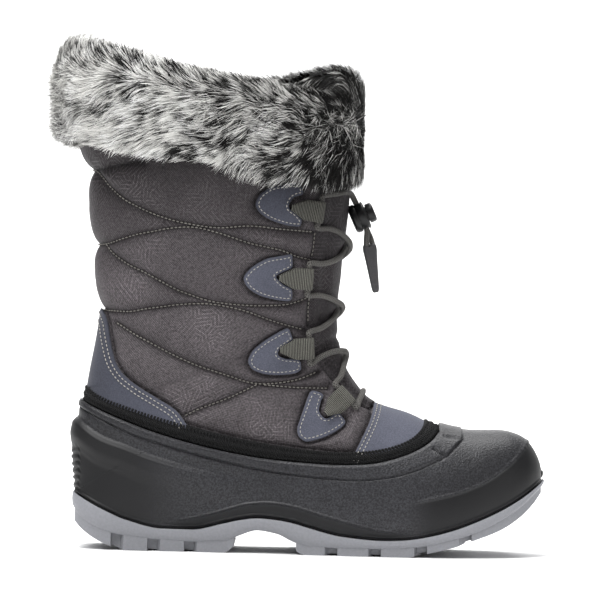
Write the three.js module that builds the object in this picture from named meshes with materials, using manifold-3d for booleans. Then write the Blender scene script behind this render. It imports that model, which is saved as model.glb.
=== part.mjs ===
// A winter snow boot for the right foot: a quilted textile shaft in a moulded rubber shell on a lugged sole,
// with a fur cuff and an elastic lace run through webbing loops to a cord lock.
// Millimetres. +X points to the toe, -Y to the outer side, +Z up, and the lugs stand on z = 0.
import * as THREE from "three";
import { mergeVertices } from "three/addons/utils/BufferGeometryUtils.js";
import Module from "manifold-3d";

const wasm = await Module();
wasm.setup();

// ---------------------------------------------------------------- driving dimensions

const GAP = 0.3; // between two pieces that meet
const UPPER_WALL = 5; // nylon, padding and lining
const SHELL_WALL = 3; // moulded rubber
const BINDING_THICK = 2.4;
const OVERLAY_THICK = 1.1; // synthetic leather
const TONGUE_WALL = 4;
const INSOLE_THICK = 5;
const SOLE_LIP = 1.2; // how far the outsole stands out past the shell
const LUG_INSET = 2.4; // of the lugs from the outsole's rim
const HALF_TREAD = { heel: 36, forefoot: 48 };
const CORD_RADIUS = 1.9;
const AROUND = 16; // facets on each side of a section
const LATERAL = -1;
const MEDIAL = 1;

// The boot is cut by planes that all stand square to the side view. They are upright from the toe back to
// the pivot, fan round the ankle below it, and lie level up the shaft. A station numbers them: negative
// stations are millimetres ahead of the pivot, 0 to 90 are degrees round it, and past 90 they are
// millimetres above it.
const PIVOT = { x: 70, z: 160 };
const FAN = 90;

// The upper's outline over the toe and up the front, seen from the side.
const FRONT_PROFILE = [
  { at: "toe tip", x: 150.6, z: 49.5 },
  { at: "toe wall", x: 148.2, z: 57.5 },
  { at: "toe brow", x: 141.5, z: 68 },
  { at: "toe top", x: 130, z: 73.5 },
  { at: "toe box", x: 104, z: 74.2 },
  { at: "vamp", x: 88, z: 77.4 },
  { at: "vamp rise", x: 70, z: 85.4 },
  { at: "lacing end", x: 47, z: 92.8 },
  { at: "instep", x: 36, z: 103 },
  { at: "ankle bend", x: 27, z: 118.5 },
  { at: "shin", x: 22.5, z: 147 },
  { at: "shaft", x: 26, z: 187 },
  { at: "under cuff", x: 30, z: 232 },
  { at: "collar", x: 31, z: 330 },
];

// The upper's outline along the footbed and up the back.
const BACK_PROFILE = [
  { at: "toe tip", x: 150.6, z: 49.5 },
  { at: "toe spring", x: 136, z: 38.5 },
  { at: "toe floor", x: 118, z: 28.5 },
  { at: "tread line", x: 88, z: 18.5 },
  { at: "ball", x: 55, z: 15.5 },
  { at: "waist", x: 20, z: 18.8 },
  { at: "arch", x: -20, z: 25.5 },
  { at: "heel seat", x: -70, z: 26.5 },
  { at: "heel seat end", x: -108, z: 27 },
  { at: "heel curve", x: -126, z: 32.5 },
  { at: "heel", x: -131, z: 45 },
  { at: "heel back", x: -131.4, z: 70 },
  { at: "counter", x: -127.5, z: 104 },
  { at: "tendon", x: -121.5, z: 147 },
  { at: "calf", x: -126, z: 187 },
  { at: "under cuff", x: -130, z: 231 },
  { at: "collar foot", x: -137, z: 258 },
  { at: "collar", x: -139, z: 330 },
];

// The shell's outline under the foot, buried in the outsole, and up the heel.
const SHELL_PROFILE = [
  { at: "toe tip", x: 150.6, z: 49.5 },
  { at: "toe", x: 149.6, z: 40 },
  { at: "toe spring", x: 136, z: 27 },
  { at: "tread line", x: 100, z: 9 },
  { at: "ball", x: 55, z: 1.5 },
  { at: "waist", x: 10, z: 8 },
  { at: "arch", x: -20, z: 12 },
  { at: "heel seat", x: -70, z: 5 },
  { at: "heel seat end", x: -112, z: 5 },
  { at: "heel curve", x: -132, z: 14 },
  { at: "heel", x: -136, z: 40 },
  { at: "heel back", x: -137.8, z: 64 },
  { at: "shell edge", x: -133.4, z: 90 },
  { at: "calf", x: -128, z: 160 },
  { at: "collar", x: -135, z: 330 },
];

// Half widths of the upper to its outer (lat) and inner (med) side, near the front (fore) and near the back
// (aft) of each section. A low fullness squares the section off; 1 leaves it round. mid is how far the
// section leans inwards.
const SECTIONS = [
  { at: -80.4, foreLat: 1.5, foreMed: 1.5, aftLat: 1.5, aftMed: 1.5, foreFull: 0.7, aftFull: 0.7, mid: 6 },
  { at: -79, foreLat: 10, foreMed: 9, aftLat: 11, aftMed: 10, foreFull: 0.7, aftFull: 0.6, mid: 6 },
  { at: -76, foreLat: 17, foreMed: 15, aftLat: 19, aftMed: 17, foreFull: 0.7, aftFull: 0.5, mid: 5.8 },
  { at: -70, foreLat: 24, foreMed: 22, aftLat: 28, aftMed: 25, foreFull: 0.7, aftFull: 0.4, mid: 5.4 },
  { at: -58, foreLat: 31, foreMed: 29, aftLat: 37, aftMed: 34, foreFull: 0.68, aftFull: 0.3, mid: 4.6 },
  { at: -40, foreLat: 36, foreMed: 35, aftLat: 43.5, aftMed: 41.5, foreFull: 0.68, aftFull: 0.25, mid: 3.2 },
  { at: -20, foreLat: 37, foreMed: 36, aftLat: 47.5, aftMed: 44.5, foreFull: 0.74, aftFull: 0.22, mid: 1.8 },
  { at: 0, foreLat: 35, foreMed: 34, aftLat: 48.5, aftMed: 44.5, foreFull: 0.84, aftFull: 0.22, mid: 0.8 },
  { at: 15, foreLat: 33, foreMed: 32, aftLat: 46, aftMed: 41, foreFull: 0.9, aftFull: 0.22, mid: 0 },
  { at: 30, foreLat: 33, foreMed: 32, aftLat: 40.5, aftMed: 34, foreFull: 0.95, aftFull: 0.22, mid: 0 },
  { at: 42, foreLat: 34, foreMed: 33.5, aftLat: 37, aftMed: 33.5, foreFull: 0.95, aftFull: 0.24, mid: 0 },
  { at: 52, foreLat: 36, foreMed: 36, aftLat: 36.5, aftMed: 35.5, foreFull: 0.95, aftFull: 0.3, mid: 0 },
  { at: 60, foreLat: 38, foreMed: 38, aftLat: 36.5, aftMed: 36, foreFull: 0.95, aftFull: 0.42, mid: 0 },
  { at: 75, foreLat: 40, foreMed: 40, aftLat: 38, aftMed: 38, foreFull: 0.95, aftFull: 0.6, mid: 0 },
  { at: 90, foreLat: 43, foreMed: 43, aftLat: 42.5, aftMed: 42.5, foreFull: 0.92, aftFull: 0.75, mid: 0 },
  { at: 120, foreLat: 46, foreMed: 46, aftLat: 46, aftMed: 46, foreFull: 0.9, aftFull: 0.8, mid: 0 },
  { at: 175, foreLat: 50, foreMed: 50, aftLat: 51, aftMed: 51, foreFull: 0.86, aftFull: 0.82, mid: 0 },
  { at: 260, foreLat: 52, foreMed: 52, aftLat: 54, aftMed: 54, foreFull: 0.84, aftFull: 0.84, mid: 0 },
];

// Heights of the outsole's edges at each x of the side view: the line where it meets the shell, the ledge
// under its rim, and the tread. It stands on the heel and the forefoot, and rises at the arch and the toe.
const SOLE_SIDE = [
  { at: -150, top: 42, ledge: 36, tread: 27 },
  { at: -136, top: 34.5, ledge: 25.5, tread: 18.2 },
  { at: -130, top: 31.2, ledge: 19, tread: 12.5 },
  { at: -120, top: 26, ledge: 13.2, tread: 6 },
  { at: -112, top: 22.4, ledge: 10.7, tread: 2.6 },
  { at: -104, top: 19.1, ledge: 9.2, tread: 0 },
  { at: -80, top: 13.8, ledge: 6.9, tread: 0 },
  { at: -62, top: 13.6, ledge: 6.2, tread: 0 },
  { at: -42, top: 17.9, ledge: 7, tread: 0 },
  { at: -33, top: 20, ledge: 10.6, tread: 6.5 },
  { at: -22, top: 21.4, ledge: 14, tread: 9.4 },
  { at: -10, top: 20.6, ledge: 12.2, tread: 7.8 },
  { at: 0, top: 18.9, ledge: 7.8, tread: 3.2 },
  { at: 8, top: 16.7, ledge: 5.4, tread: 0 },
  { at: 30, top: 11.6, ledge: 4.6, tread: 0 },
  { at: 55, top: 9.8, ledge: 4.8, tread: 0 },
  { at: 68, top: 10.4, ledge: 5.4, tread: 0 },
  { at: 82, top: 12.6, ledge: 7.2, tread: 2.7 },
  { at: 98, top: 16.9, ledge: 11, tread: 6.6 },
  { at: 112, top: 22.2, ledge: 15.6, tread: 11.5 },
  { at: 126, top: 28.6, ledge: 22.4, tread: 17 },
  { at: 138, top: 35.4, ledge: 30, tread: 24.5 },
  { at: 147, top: 41.6, ledge: 37.8, tread: 33 },
  { at: 154, top: 47, ledge: 44.2, tread: 41.6 },
  { at: 165, top: 56, ledge: 53.4, tread: 51 },
];

// Stages along the joint of shell and upper, from the heel over the foot's side to the top of the toes: the
// upper's lower edge inside the shell (lap), and the binding's lower and upper edges.
const JOINT_EDGES = [
  { lapX: -150, lapZ: 90, lowX: -150, lowZ: 100, highX: -150, highZ: 112 },
  { lapX: -134, lapZ: 82, lowX: -133, lowZ: 91.5, highX: -131, highZ: 102 },
  { lapX: -120, lapZ: 76, lowX: -120, lowZ: 85.4, highX: -120, highZ: 94.5 },
  { lapX: -100, lapZ: 68, lowX: -100, lowZ: 77.6, highX: -100, highZ: 87.5 },
  { lapX: -80, lapZ: 61, lowX: -80, lowZ: 71, highX: -80, highZ: 81.5 },
  { lapX: -50, lapZ: 53, lowX: -50, lowZ: 63.5, highX: -50, highZ: 73.5 },
  { lapX: -20, lapZ: 48, lowX: -20, lowZ: 58.4, highX: -20, highZ: 67.6 },
  { lapX: 10, lapZ: 45.4, lowX: 10, lowZ: 56, highX: 10, highZ: 64 },
  { lapX: 35, lapZ: 45, lowX: 30, lowZ: 55.5, highX: 30, highZ: 63 },
  { lapX: 60, lapZ: 48.5, lowX: 50, lowZ: 57, highX: 48, highZ: 64.4 },
  { lapX: 78, lapZ: 56, lowX: 68, lowZ: 62.2, highX: 62, highZ: 67.6 },
  { lapX: 89, lapZ: 65, lowX: 80, lowZ: 68.2, highX: 72, highZ: 72.6 },
  { lapX: 96, lapZ: 78, lowX: 87, lowZ: 74.5, highX: 77.5, highZ: 78.5 },
  { lapX: 97, lapZ: 88, lowX: 89, lowZ: 80, highX: 79, highZ: 84 },
  { lapX: 97, lapZ: 100, lowX: 89, lowZ: 95, highX: 79, highZ: 95 },
];

// The heel counter's free edge, from the back down to the binding.
const COUNTER_EDGE = [
  { x: -150, z: 150 },
  { x: -121, z: 147 },
  { x: -117, z: 140 },
  { x: -114.5, z: 128 },
  { x: -111, z: 115 },
  { x: -106, z: 107.5 },
  { x: -97, z: 100.5 },
  { x: -85, z: 93.5 },
  { x: -73, z: 86 },
  { x: -66, z: 77 },
];

// The toe overlay's rear edge, upwards.
const TOE_OVERLAY_EDGE = [
  { x: 34, z: 58 },
  { x: 41.5, z: 73 },
  { x: 45.5, z: 82 },
  { x: 48, z: 92 },
  { x: 48, z: 100 },
];

// The edge of the throat, which the tongue fills, upwards.
const THROAT_EDGE = [
  { x: 46, z: 90 },
  { x: 38, z: 94 },
  { x: 28, z: 102.5 },
  { x: 19, z: 112 },
  { x: 12.5, z: 125 },
  { x: 10, z: 145 },
  { x: 10, z: 172 },
  { x: 12, z: 200 },
  { x: 15, z: 230 },
  { x: 19, z: 330 },
];

// The upper's top edge, which the cuff covers.
const COLLAR_EDGE = [
  { x: -160, z: 300 },
  { x: -60, z: 287 },
  { x: 60, z: 276 },
];

// The fur cuff round the collar, from the front (0 degrees) round the outer side (90) to the back (180) and
// on round the inner side. thick is how far the fur stands out.
const CUFF = [
  { at: 0, top: 293, foot: 233, thick: 7 },
  { at: 30, top: 284, foot: 225, thick: 9 },
  { at: 55, top: 286, foot: 226, thick: 11 },
  { at: 90, top: 295, foot: 235, thick: 12.5 },
  { at: 130, top: 306, foot: 243, thick: 13.5 },
  { at: 160, top: 313, foot: 248, thick: 14.5 },
  { at: 180, top: 314.5, foot: 249, thick: 15 },
  { at: 200, top: 312, foot: 248, thick: 14.5 },
  { at: 240, top: 301, foot: 242, thick: 13.5 },
  { at: 280, top: 294, foot: 235, thick: 12 },
  { at: 320, top: 297, foot: 228, thick: 10 },
  { at: 345, top: 298, foot: 229, thick: 8 },
  { at: 360, top: 293, foot: 233, thick: 7 },
];

const CUFF_INNER = -10.5; // how far in the cuff's lining side stands

// Webbing loops up one side of the throat: where each fold's bar stands in the side view, and the way it
// points in degrees.
const LOOPS = [
  { x: 28.6, z: 95.4, turn: 42 },
  { x: 5.6, z: 125.8, turn: 5 },
  { x: 4, z: 168.5, turn: 0 },
  { x: 9.8, z: 209.6, turn: -7 },
];
const LOOP_WIDTH = 13;
const LOOP_TAIL = 17; // from the bar back to where the patch holds the tape
const TAPE_THICK = 1.1;
const LOOP_BORE = CORD_RADIUS + 0.4;
const LOOP_REACH = LOOP_WIDTH / 2 + 0.5; // where a lace strand ends, clear of its loop

// The cord lock hangs in front of the tongue, its barrel tilted up and forwards.
const LOCK = {
  centre: new THREE.Vector3(36.6, 0, 207.4),
  tilt: 24, // degrees of the barrel's axis above level
  radius: 9,
  length: 10,
  floor: 0.8,
  boreRadius: 6.4,
  buttonRadius: 6.1,
  buttonOut: 5,
  buttonFoot: 1.2,
  travel: 2,
  slotWide: 9.2, // room for both cords side by side
  slotLong: 4.4, // room for one cord
};
// The outer cord's free end, from its loop through the lock to the pull tab. The inner end mirrors it. Below
// the lock the two cords twist into one another's line: fan is how far the outer one stands back of x, and
// the inner one ahead of it.
const LACE_END_ROUTE = [
  { x: 22.5, y: -26, z: 221, fan: 0 },
  { x: 28, y: -16.5, z: 222.4, fan: 0 },
  { x: 31.2, y: -7, z: 221.4, fan: 0 },
  { x: 33.7, y: -2.6, z: 217.2, fan: 0 },
  { x: 37.9, y: -2.3, z: 208, fan: 0 },
  { x: 41.5, y: -2.3, z: 199.8, fan: 0.1 },
  { x: 42.9, y: -1.6, z: 193.8, fan: 1.5 },
  { x: 43.6, y: 0, z: 188.6, fan: 2.1 },
];
const PULL_TAB = { top: [43.7, 187.3], bottom: [48, 161], wide: 7.8, narrow: 3.6, thick: 4.6 };

// ---------------------------------------------------------------- curves and tables

// A smooth column of a table: cubic between rows, flat where the column turns, so that it never overshoots.
function column(rows, name, at) {
  const last = rows.length - 1;
  if (at <= rows[0].at) return rows[0][name];
  if (at >= rows[last].at) return rows[last][name];
  const i = rows.findIndex((row) => row.at > at) - 1;
  const slope = (k) => (rows[k + 1][name] - rows[k][name]) / (rows[k + 1].at - rows[k].at);
  const tangent = (k) => {
    const before = slope(Math.max(k - 1, 0));
    const after = slope(Math.min(k, last - 1));
    return before * after <= 0 ? 0 : (2 * before * after) / (before + after);
  };
  const span = rows[i + 1].at - rows[i].at;
  const f = (at - rows[i].at) / span;
  return (
    rows[i][name] * (1 + 2 * f) * (1 - f) ** 2 +
    tangent(i) * span * f * (1 - f) ** 2 +
    rows[i + 1][name] * (3 - 2 * f) * f ** 2 +
    tangent(i + 1) * span * (f - 1) * f ** 2
  );
}

const range = (from, to, steps) =>
  Array.from({ length: steps + 1 }, (_, i) => from + ((to - from) * i) / steps);

// Two columns of a table as points of the side view.
const pairs = (rows, x = "x", z = "z") => rows.map((row) => [row[x], row[z]]);

// A smooth line through points of the side view.
function smoothLine(points, steps = 3) {
  const flat = points.map(([x, z]) => new THREE.Vector3(x, 0, z));
  const curve = new THREE.CatmullRomCurve3(flat, false, "centripetal");
  return curve.getPoints((points.length - 1) * steps).map((p) => [p.x, p.z]);
}

const fine = (rows) => smoothLine(pairs(rows), 8);
const frontLine = fine(FRONT_PROFILE);
const footbedLine = fine(BACK_PROFILE);
const shellLine = fine(SHELL_PROFILE);

// The last place between two at which a test still holds, when it holds at the first and not at the other.
function lastWhere(from, to, holds) {
  while (Math.abs(to - from) > 1e-4) {
    const middle = (from + to) / 2;
    if (holds(middle)) from = middle;
    else to = middle;
  }
  return from;
}

// The line in which a station's plane cuts the side view: its start and the way it runs, from front to back.
// A form that has grown stretches its upright planes forwards, to grow at the toe as well.
function stationRay(station, stretch = 1) {
  if (station < 0) return { x: PIVOT.x - station * stretch, z: PIVOT.z, dx: 0, dz: -1 };
  if (station > FAN) return { x: PIVOT.x, z: PIVOT.z + station - FAN, dx: -1, dz: 0 };
  const angle = THREE.MathUtils.degToRad(station);
  return { ...PIVOT, dx: -Math.sin(angle), dz: -Math.cos(angle) };
}

// How far along a station's line an outline crosses it.
function crossing(ray, line) {
  const across = ([x, z]) => ray.dx * (z - ray.z) - ray.dz * (x - ray.x);
  for (let i = 1; i < line.length; i++) {
    const before = across(line[i - 1]);
    const after = across(line[i]);
    if (before * after > 0 || before === after) continue;
    const f = before / (before - after);
    const x = THREE.MathUtils.lerp(line[i - 1][0], line[i][0], f);
    const z = THREE.MathUtils.lerp(line[i - 1][1], line[i][1], f);
    const reach = ray.dx * (x - ray.x) + ray.dz * (z - ray.z);
    if (reach > 0) return reach;
  }
  throw new Error("no crossing at " + JSON.stringify(ray));
}

// ---------------------------------------------------------------- the last's surface

// A form is a surface of the boot: how far it has grown from the upper's face, and the outline of its back.
const form = (grow, backLine = footbedLine) => ({ grow, backLine });

const TOE_REACH = FRONT_PROFILE[0].x - PIVOT.x;
const stretchOf = ({ grow }) => 1 + grow / TOE_REACH;

function sectionEnds(station, shape) {
  const { grow, backLine } = shape;
  const ray = stationRay(station);
  const backGrow = backLine === footbedLine ? grow : grow - SHELL_WALL - GAP;
  return {
    ray: stationRay(station, stretchOf(shape)),
    front: crossing(ray, frontLine) - grow,
    back: crossing(ray, backLine) + backGrow,
  };
}

// A point of a form. turn runs from 0 at the front to pi at the back.
function surfacePoint(station, turn, side, shape) {
  const { ray, front, back } = sectionEnds(station, shape);
  const share = (1 - Math.cos(turn)) / 2;
  const reach = THREE.MathUtils.lerp(front, back, share);
  const [fore, aft] = side === LATERAL ? ["foreLat", "aftLat"] : ["foreMed", "aftMed"];
  const width = THREE.MathUtils.lerp(
    column(SECTIONS, fore, station),
    column(SECTIONS, aft, station),
    THREE.MathUtils.smoothstep(share, 0, 1),
  );
  const fullness = column(SECTIONS, turn < Math.PI / 2 ? "foreFull" : "aftFull", station);
  const half = Math.max(width + shape.grow, 0.5) * Math.abs(Math.sin(turn)) ** fullness;
  return new THREE.Vector3(
    ray.x + ray.dx * reach,
    column(SECTIONS, "mid", station) + side * half,
    ray.z + ray.dz * reach,
  );
}

// The station and turn of the point of a form that is seen at (x, z) from the side.
function placeAt(x, z, shape) {
  let station = THREE.MathUtils.radToDeg(Math.atan2(PIVOT.x - x, PIVOT.z - z));
  if (x >= PIVOT.x) station = (PIVOT.x - x) / stretchOf(shape);
  else if (z >= PIVOT.z) station = FAN + z - PIVOT.z;
  const { ray, front, back } = sectionEnds(station, shape);
  const reach = ray.dx * (x - ray.x) + ray.dz * (z - ray.z);
  const share = THREE.MathUtils.clamp((reach - front) / (back - front), 0, 1);
  return { station, turn: Math.acos(1 - 2 * share) };
}

// A local frame on a form at (x, z), its first axis along heading, in degrees above +X in the side view.
function frameAt(x, z, heading, side, shape) {
  const at = (u, v) => {
    const place = placeAt(u, v, shape);
    return surfacePoint(place.station, place.turn, side, shape);
  };
  const origin = at(x, z);
  const angle = THREE.MathUtils.degToRad(heading);
  const step = 1.5;
  const along = at(x + step * Math.cos(angle), z + step * Math.sin(angle)).sub(origin).normalize();
  const up = at(x - step * Math.sin(angle), z + step * Math.cos(angle)).sub(origin);
  const out = up.cross(along).multiplyScalar(-side).normalize();
  if (out.y * side < 0) out.negate();
  return new THREE.Matrix4().makeBasis(along, out, along.clone().cross(out)).setPosition(origin);
}

// ---------------------------------------------------------------- solids

function solidFrom(geometry) {
  const bare = geometry.clone();
  bare.deleteAttribute("normal");
  bare.deleteAttribute("uv");
  const merged = mergeVertices(bare, 1e-4);
  const vertProperties = merged.attributes.position.array;
  const triVerts = new Uint32Array(merged.index.array);
  return new wasm.Manifold(new wasm.Mesh({ numProp: 3, vertProperties, triVerts }));
}

function geometryFrom(solid) {
  const mesh = solid.getMesh();
  const geometry = new THREE.BufferGeometry();
  geometry.setAttribute("position", new THREE.BufferAttribute(new Float32Array(mesh.vertProperties), 3));
  geometry.setIndex(new THREE.BufferAttribute(new Uint32Array(mesh.triVerts), 1));
  geometry.computeVertexNormals();
  return geometry;
}

// A closed solid over rings of points, each end closed at its middle, or the last ring joined to the first.
function loft(rings, looped = false) {
  const size = rings[0].length;
  const points = rings.flat();
  const triangles = [];
  const lastRing = looped ? rings.length : rings.length - 1;
  for (let r = 0; r < lastRing; r++) {
    for (let k = 0; k < size; k++) {
      const a = r * size + k;
      const b = r * size + ((k + 1) % size);
      const c = ((r + 1) % rings.length) * size + k;
      const d = ((r + 1) % rings.length) * size + ((k + 1) % size);
      triangles.push(a, d, b, a, c, d);
    }
  }
  if (!looped) {
    [0, rings.length - 1].forEach((r) => {
      const middle = rings[r].reduce((sum, p) => sum.add(p), new THREE.Vector3()).divideScalar(size);
      points.push(middle);
      for (let k = 0; k < size; k++) {
        const pair = [r * size + k, r * size + ((k + 1) % size)];
        triangles.push(...(r ? pair.reverse() : pair), points.length - 1);
      }
    });
  }
  const geometry = new THREE.BufferGeometry().setFromPoints(points);
  geometry.setIndex(triangles);
  return solidFrom(geometry);
}

function ring(station, shape) {
  const turns = range(0, Math.PI, AROUND);
  return [
    ...turns.map((turn) => surfacePoint(station, turn, LATERAL, shape)),
    ...turns.slice(1, -1).reverse().map((turn) => surfacePoint(station, turn, MEDIAL, shape)),
  ];
}

const TOE_STATIONS = [-80.4, -79.3, -77.5, -74, -68, -60, -48, -34, -18];
const FAN_STATIONS = range(0, FAN, 14);
const SHAFT_STATIONS = [110, 132, 158, 190, 240];

// The whole inside of a form, up to and past the collar.
const formSolid = (shape, stations) => loft(stations.map((station) => ring(station, shape)));
const wholeStations = [...TOE_STATIONS, ...FAN_STATIONS, ...SHAFT_STATIONS];
const footStations = [...TOE_STATIONS, ...FAN_STATIONS];

// A straight cut through the side view, all the way across the boot.
function sidePrism(points, halfWidth = 90) {
  const outline = new THREE.Shape(points.map(([x, z]) => new THREE.Vector2(x, z)));
  const geometry = new THREE.ExtrudeGeometry(outline, { depth: 2 * halfWidth, bevelEnabled: false });
  return solidFrom(geometry.rotateX(Math.PI / 2).translate(0, halfWidth, 0));
}

const lift = (line, dx, dz) => line.map(([x, z]) => [x + dx, z + dz]);
const HIGH = 400;
const soleLine = (name) => range(-150, 160, 62).map((x) => [x, column(SOLE_SIDE, name, x)]);
const soleTop = soleLine("top");
const bindingLower = smoothLine(pairs(JOINT_EDGES, "lowX", "lowZ"), 2);
const bindingUpper = smoothLine(pairs(JOINT_EDGES, "highX", "highZ"), 2);
const lapEdge = smoothLine(pairs(JOINT_EDGES, "lapX", "lapZ"), 2);
const throatEdge = smoothLine(pairs(THROAT_EDGE), 2);
const collarEdge = pairs(COLLAR_EDGE);

// ---------------------------------------------------------------- outsole

// Cross grooves between the lugs: middle, roof height, and the side on which the block's corner is bevelled.
const GROOVES = [
  { x: -109.5, roof: 6.2, bevel: 1 },
  { x: -87, roof: 4.4, bevel: 1 },
  { x: -64.5, roof: 4.4, bevel: 1 },
  { x: 25.3, roof: 4.4, bevel: -1 },
  { x: 51.8, roof: 4.6, bevel: -1 },
  { x: 79.8, roof: 7, bevel: -1 },
  { x: 107, roof: 14.6, bevel: -1 },
];
const GROOVE_WIDE = 3.8;
const BEVEL = { long: 4.2, deep: 9 };
const CENTRE_GROOVE = { wide: 6, runs: [[-118, -42], [14, 124]] };

function grooveCutter({ x, roof, bevel }, sideWidth) {
  const half = GROOVE_WIDE / 2;
  const far = sideWidth + 10;
  const inner = sideWidth - BEVEL.deep;
  const outer = half + BEVEL.long * (far / sideWidth);
  const outline = new THREE.Shape([
    new THREE.Vector2(-half, -far),
    new THREE.Vector2(outer, -far),
    new THREE.Vector2(half, -inner),
    new THREE.Vector2(half, inner),
    new THREE.Vector2(outer, far),
    new THREE.Vector2(-half, far),
  ]);
  const geometry = new THREE.ExtrudeGeometry(outline, { depth: roof + 10, bevelEnabled: false });
  if (bevel < 0) geometry.rotateZ(Math.PI);
  return solidFrom(geometry.translate(x, 0, -10));
}

// The plan outline of the shell where it meets the sole, stood out past it by a lip.
function soleOutline(lip) {
  const shape = form(SHELL_WALL + GAP + lip, shellLine);
  const isAbove = (p) => p.z > column(SOLE_SIDE, "top", p.x);
  const heelEnd = lastWhere(45, 70, (station) => !isAbove(surfacePoint(station, Math.PI, LATERAL, shape)));
  const heel = [9, 5.5, 3, 1.6, 0.8, 0.3, 0.05].map((before) => heelEnd - before);
  const stations = [...TOE_STATIONS, ...range(0, 45, 5), ...heel];
  const edgePoint = (station, side) => {
    const turn = lastWhere(Math.PI / 2, Math.PI, (t) => isAbove(surfacePoint(station, t, side, shape)));
    const { x, y } = surfacePoint(station, turn, side, shape);
    return new THREE.Vector2(x, y);
  };
  return [
    ...stations.map((station) => edgePoint(station, LATERAL)),
    ...stations.map((station) => edgePoint(station, MEDIAL)).reverse(),
  ];
}

const planPrism = (points) =>
  solidFrom(new THREE.ExtrudeGeometry(new THREE.Shape(points), { depth: 60, bevelEnabled: false }));

function outsole() {
  const ledge = soleLine("ledge");
  const tread = soleLine("tread");
  const rim = planPrism(soleOutline(SOLE_LIP))
    .intersect(sidePrism([...ledge, ...[...soleTop].reverse()]));
  const lugs = planPrism(soleOutline(SOLE_LIP - LUG_INSET))
    .intersect(sidePrism([...tread, ...lift(ledge, 0, 1.5).reverse()]));
  let solid = rim.add(lugs);
  GROOVES.forEach((groove) => {
    solid = solid.subtract(grooveCutter(groove, groove.x < 0 ? HALF_TREAD.heel : HALF_TREAD.forefoot));
  });
  CENTRE_GROOVE.runs.forEach(([from, to]) => {
    const channel = lift(tread, 0, 4).filter(([x]) => x > from && x < to);
    solid = solid.subtract(sidePrism([[from, -10], ...channel, [to, -10]], CENTRE_GROOVE.wide / 2));
  });
  return solid;
}

// ---------------------------------------------------------------- shell, upper and the layers on them

const upperFace = form(0);
const shellFace = form(SHELL_WALL + GAP, shellLine);

function rubberShell() {
  const outside = formSolid(shellFace, footStations);
  const inside = formSolid(form(GAP), footStations);
  const edges = [...lift(bindingLower, 0, -GAP), [175, 95], ...lift([...soleTop].reverse(), 0, GAP)];
  const kept = sidePrism(edges);
  return outside.subtract(inside).intersect(kept);
}

function insole() {
  const inside = formSolid(form(-0.1), footStations);
  const top = lift(smoothLine(pairs(BACK_PROFILE.slice(0, 11)), 2), 0, INSOLE_THICK);
  return inside.intersect(sidePrism([...top, [-160, 40], [-160, -20], [170, -20], [170, 56]]));
}

function upper() {
  const wall = formSolid(upperFace, wholeStations).subtract(formSolid(form(-UPPER_WALL), wholeStations));
  const aboveLap = sidePrism([...lapEdge, [97, HIGH], [-150, HIGH]]);
  const throat = sidePrism([...throatEdge, [120, 330], [120, 90]]);
  return wall.intersect(aboveLap).intersect(belowCollar(0)).subtract(throat);
}

function tongue() {
  const outside = formSolid(form(-0.2), wholeStations);
  const wall = outside.subtract(formSolid(form(-0.2 - TONGUE_WALL), wholeStations));
  const throat = sidePrism([...lift(throatEdge, GAP, GAP), [120, 330], [120, 90 + GAP]]);
  return wall.intersect(throat).intersect(belowCollar(-6));
}

// A layer laid on the upper, kept within an outline of the side view.
function layer(thickness, outline, stations = wholeStations) {
  const outside = formSolid(form(GAP + thickness), stations);
  const inside = formSolid(form(GAP), stations);
  return outside.subtract(inside).intersect(sidePrism(outline));
}

const binding = () =>
  layer(BINDING_THICK, [...bindingLower, ...[...bindingUpper].reverse()], footStations);

// Everything that stands above the binding and behind its front end.
const aboveBinding = () => sidePrism([...lift(bindingUpper, -GAP, GAP), [79 - GAP, HIGH], [-150, HIGH]]);

const heelCounter = () =>
  layer(OVERLAY_THICK, [...smoothLine(pairs(COUNTER_EDGE), 2), [-150, 60]]).intersect(aboveBinding());

const toeOverlay = () =>
  layer(OVERLAY_THICK, [...smoothLine(pairs(TOE_OVERLAY_EDGE), 2), [100, 100], [100, 50]], footStations)
    .intersect(aboveBinding());

// ---------------------------------------------------------------- fur cuff

// Everything below the collar's edge, lifted.
const belowCollar = (up) => sidePrism([...lift(collarEdge, 0, up), [60, -50], [-160, -50]]);

// The cuff wraps over the upper's top edge, with a slot in which the edge stands.
function furCuff() {
  const rings = range(0, 2 * AROUND, 2 * AROUND).slice(0, -1).map((k) => {
    const angle = (180 * k) / AROUND;
    const top = column(CUFF, "top", angle);
    const foot = column(CUFF, "foot", angle);
    const thick = column(CUFF, "thick", angle);
    const side = angle <= 180 ? LATERAL : MEDIAL;
    const turn = THREE.MathUtils.degToRad(angle <= 180 ? angle : 360 - angle);
    const section = [
      [CUFF_INNER, foot + 34], [CUFF_INNER, top - 12], [-8, top - 4], [-2.5, top], [thick * 0.35, top - 3.5],
      [thick * 0.78, top - 12], [thick, top - 25], [thick, foot + 18], [thick * 0.9, foot + 6],
      [thick * 0.6, foot], [-2, foot], [-2, foot + 34],
    ];
    return section.map(([out, z]) => surfacePoint(FAN + z - PIVOT.z, turn, side, form(out)));
  });
  const slot = formSolid(form(GAP), wholeStations)
    .subtract(formSolid(form(-UPPER_WALL - GAP), wholeStations))
    .intersect(belowCollar(GAP));
  return loft(rings, true).subtract(slot);
}

// ---------------------------------------------------------------- lacing

function tube(points, radius = CORD_RADIUS, steps = 4) {
  const path = new THREE.CatmullRomCurve3(points, false, "centripetal");
  const section = new THREE.Shape(range(0, 2 * Math.PI, 8).slice(0, -1).map(
    (angle) => new THREE.Vector2(radius * Math.cos(angle), radius * Math.sin(angle)),
  ));
  const extrudePath = path;
  const geometry = new THREE.ExtrudeGeometry(section, { extrudePath, steps: (points.length - 1) * steps });
  return solidFrom(geometry);
}

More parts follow.
